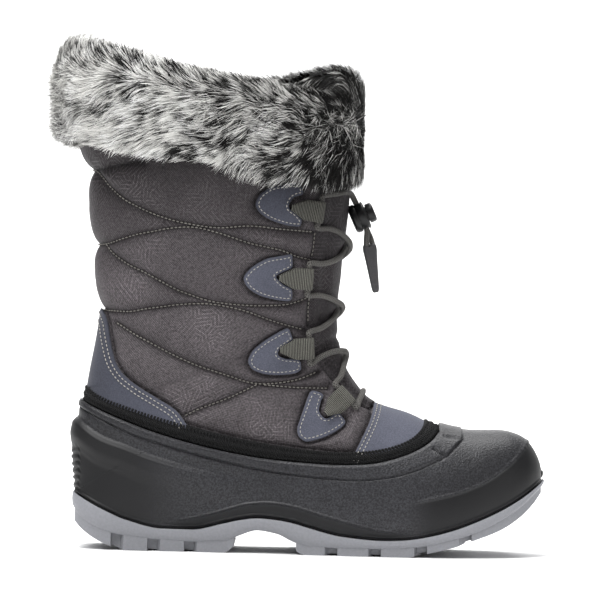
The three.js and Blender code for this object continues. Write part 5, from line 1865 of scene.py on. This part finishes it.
class BOOT_OT_camera(bpy.types.Operator):
    """Set the camera level with the boot, square to its outer side"""

    bl_idname = "boot.camera"
    bl_label = "Camera"

    def execute(self, context):
        lean = math.radians(VIEW_ROLL)
        right = Vector((math.cos(lean), 0, math.sin(lean)))
        up = Vector((-math.sin(lean), 0, math.cos(lean)))
        data = bpy.data.cameras.new("camera")
        data.lens = SENSOR * VIEW_FAR / VIEW_WIDE
        data.clip_end = 20
        camera = linked("camera", data)
        aim = Vector(VIEW_AIM) * MM
        turn = Matrix((right, up, Vector((0, -1, 0)))).transposed().to_4x4()
        camera.matrix_world = Matrix.Translation(aim + Vector((0, -VIEW_FAR * MM, 0))) @ turn
        context.scene.camera = camera
        return {"FINISHED"}


class BOOT_OT_lace(bpy.types.Operator):
    """Thread the elastic lace through its loops, with its two free ends, the cord lock and the pull tab"""

    bl_idname = "boot.lace"
    bl_label = "Lace and cord lock"

    def execute(self, context):
        made, radius = finish_of(context), sizes_of(context).cord_radius / MM
        tab = piece("pull_tab_moulded", tab_mesh(), made["tab"], "tab_plastic", "pull_tab")
        lock = (made["lock"], "lock_plastic")
        barrel = piece("cord_lock_housing", barrel_mesh(), *lock, "cord_lock_barrel")
        button = piece("cord_lock_plunger", button_mesh(), *lock, "cord_lock_button", body="lock_button")
        for name, side in (("outer", OUTER), ("inner", INNER)):
            node = "lace_end_lateral" if side == OUTER else "lace_end_medial"
            path = lace_end_path(side)
            end = piece(f"lace_end_{name}", tube(path, radius), made["cord"], "elastic_cord", node)
        crossings = ["lace_bar", "lace_cross_1", "lace_cross_2", "lace_cross_3"]
        piece("lace", tube(lace_path(), radius), made["cord"], "elastic_cord", *crossings)
        for side, word in ((OUTER, "lateral"), (INNER, "medial")):
            for k, loop in enumerate(LOOPS, 1):
                node = f"webbing_loop_{word}_{k}"
                piece(f"webbing_{word}_{k}", webbing_mesh(loop, side), made["webbing"], "webbing", node)
        return {"FINISHED"}


class BOOT_OT_outsole(bpy.types.Operator):
    """Mould the outsole: a bulged rim with separate lugs"""

    bl_idname = "boot.outsole"
    bl_label = "Outsole"

    def execute(self, context):
        piece("outsole_lugged", outsole_mesh(), finish_of(context)["sole"], "sole_rubber", "outsole")
        bpy.data.objects["outsole_lugged"].data.set_sharp_from_angle(angle=math.radians(38))
        return {"FINISHED"}


class BOOT_OT_shell(bpy.types.Operator):
    """Mould the rubber shell with its bands, ridges and bumper"""

    bl_idname = "boot.shell"
    bl_label = "Rubber shell"

    def execute(self, context):
        face = shape_shell(turn_normals_out(shell_sheets(0.8, 128, SHELL_FACE, crowd=0.22)))
        back = shell_sheets(4.0, 22, GAP + 0.2, lift=1.5)
        mesh = wall(face, back)
        piece("shell_moulded", mesh, finish_of(context)["shell"], "shell_rubber", "rubber_shell")
        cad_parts["insole"].data.materials.clear()
        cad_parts["insole"].data.materials.append(finish_of(context)["felt"])
        return {"FINISHED"}


def line_inside(mesh, lining):
    """Gives the faces on the inner side of a wall the lining's finish."""
    mesh.materials.append(lining)
    outside = mesh.attributes["outside"].data
    for polygon in mesh.polygons:
        polygon.material_index = int(all(outside[v].value < 0.5 for v in polygon.vertices))


class BOOT_OT_upper(bpy.types.Operator):
    """Sew the quilted upper, its lining and the tongue"""

    bl_idname = "boot.upper"
    bl_label = "Quilted upper"

    def execute(self, context):
        sizes, made = sizes_of(context), finish_of(context)
        face = turn_normals_out(upper_sheets(1.38, 116, 0.0))
        depth, puff = quilt_depth(read_points(face), sizes)
        push_out(face, depth)
        # the openness is kept for the textile's painted shade in its seams
        set_value(face, "puff", puff)
        set_value(face, "outside", np.ones(len(puff)))
        mesh = wall(face, upper_sheets(6.0, 26, -4.4))
        upper = piece("upper_quilted", mesh, made["textile"], "quilted_textile", "upper")
        line_inside(upper.data, made["fleece"])
        tongue = piece("tongue_padded", tongue_mesh(), made["textile"], "quilted_textile", "tongue")
        return {"FINISHED"}


class BOOT_OT_trims(bpy.types.Operator):
    """Lay the binding, the heel counter, the toe overlay and the lacing patches on the upper"""

    bl_idname = "boot.trims"
    bl_label = "Binding and overlays"

    def execute(self, context):
        made = finish_of(context)
        piece("binding_braided", binding_mesh(), made["gimp"], "braid", "binding")
        piece("heel_counter_leather", counter_mesh(), made["suede"], "synthetic_leather", "heel_counter")
        piece("toe_overlay_leather", toe_overlay_mesh(), made["suede"], "synthetic_leather", "toe_overlay")
        for side, word in ((OUTER, "outer"), (INNER, "inner")):
            for k, outline in enumerate(PATCHES, 1):
                mesh = plate_mesh(round_outline(outline), patch_height(LOOPS[k - 1]), side)
                piece(f"lacing_patch_{word}_{k}", mesh, made["suede"], "synthetic_leather")
        return {"FINISHED"}


class BOOT_OT_stitches(bpy.types.Operator):
    """Sew the visible stitches along the seams, patches and overlays"""

    bl_idname = "boot.stitches"
    bl_label = "Stitches"

    def execute(self, context):
        sizes, made = sizes_of(context), finish_of(context)
        pale, dark = (stitch_mesh(rows(sizes)) for rows in (pale_stitches, dark_stitches))
        piece("stitches_pale", pale, made["stitch"], "synthetic_leather")
        piece("stitches_dark", dark, made["dark_stitch"], "quilted_textile")
        return {"FINISHED"}


class BOOT_OT_fur(bpy.types.Operator):
    """Cover the cuff with marled fur"""

    bl_idname = "boot.fur"
    bl_label = "Fur cuff"

    def execute(self, context):
        made = finish_of(context)
        meshes, grid = fur_meshes(sizes_of(context), context.scene.boot_colours)
        ring = np.concatenate([grid, grid[:, :1]], axis=1)
        piece("fur_hide", face_out(join([sheet(ring)], 0.01)), made["underfur"], "fur", "fur_cuff")
        for name, mesh in zip(("front_outer", "back_outer", "back_inner", "front_inner"), meshes):
            piece(f"fur_{name}", mesh, made["hair"], "fur")
        return {"FINISHED"}


class BOOT_OT_stage(bpy.types.Operator):
    """Set the pale floor, its curved backdrop and the soft lights"""

    bl_idname = "boot.stage"
    bl_label = "Studio"

    def execute(self, context):
        # half the floor's width, where it turns up, its radius there and its height, in metres
        half, far, bend, high = 9, 3.6, 1.2, 6
        arc = np.linspace(0.1, math.pi / 2, 12)
        profile = [(-half, 0), (far, 0)]
        profile += [(far + bend * math.sin(a), bend - bend * math.cos(a)) for a in arc]
        profile.append((far + bend, high))
        bm, _, edges = wire([(-half, y, z) for y, z in profile])
        swept = bmesh.ops.extrude_edge_only(bm, edges=edges)["geom"]
        moved = [v for v in swept if isinstance(v, bmesh.types.BMVert)]
        bmesh.ops.translate(bm, vec=(2 * half, 0, 0), verts=moved)
        mesh = mesh_from(bm, outwards=True)
        mesh.shade_smooth()
        linked("floor", mesh)
        paper = plain_finish("studio_paper", (244, 244, 244), 0.9, 0.004, 40.0, 0.00001)
        mesh.materials.append(paper)
        world = context.scene.world or bpy.data.worlds.new("studio")
        context.scene.world = world
        world.use_nodes = True
        sky = world.node_tree.nodes["Background"].inputs
        sky["Color"].default_value = (1, 1, 1, 1)
        sky["Strength"].default_value = 0.16
        boot, wall_foot = (0, 0, 0.14), (0, 4.4, 0.4)
        for name, place_at, target, size, power in (
            ("top", (-0.35, -0.6, 1.9), boot, 0.8, 38), ("key", (-1.2, -1.6, 1.9), boot, 0.8, 22),
            ("fill", (1.9, -1.4, 0.8), boot, 1.2, 7), ("backdrop", (0, 1.4, 3.6), wall_foot, 3.2, 330),
        ):
            data = bpy.data.lights.new(name, "AREA")
            data.shape, data.size, data.energy = "SQUARE", size, power
            light = linked(name, data)
            light.location = place_at
            light.rotation_euler = (Vector(target) - Vector(place_at)).to_track_quat("-Z", "Y").to_euler()
        context.scene.view_settings.view_transform = "Standard"
        return {"FINISHED"}


class BOOT_PT_panel(bpy.types.Panel):
    """The boot's pieces, sizes and colours"""

    bl_idname = "BOOT_PT_panel"
    bl_label = "Snow boot"
    bl_space_type = "VIEW_3D"
    bl_region_type = "UI"
    bl_category = "Boot"

    def draw(self, context):
        for operator in OPERATORS:
            self.layout.operator(operator.bl_idname)
        for group in (context.scene.boot_sizes, context.scene.boot_colours):
            for name in group.__annotations__:
                self.layout.prop(group, name)


OPERATORS = (
    BOOT_OT_camera, BOOT_OT_lace, BOOT_OT_outsole, BOOT_OT_shell, BOOT_OT_upper, BOOT_OT_trims,
    BOOT_OT_stitches, BOOT_OT_fur, BOOT_OT_stage,
)
CLASSES = (BootSizes, BootColours, *OPERATORS, BOOT_PT_panel)


def register():
    for cls in CLASSES:
        bpy.utils.register_class(cls)
    bpy.types.Scene.boot_sizes = PointerProperty(type=BootSizes)
    bpy.types.Scene.boot_colours = PointerProperty(type=BootColours)


def unregister():
    del bpy.types.Scene.boot_sizes
    del bpy.types.Scene.boot_colours
    for cls in reversed(CLASSES):
        bpy.utils.unregister_class(cls)


def main():
    register()
    for operator in OPERATORS:
        group, name = operator.bl_idname.split(".")
        getattr(getattr(bpy.ops, group), name)()


if __name__ == "__main__":
    main()
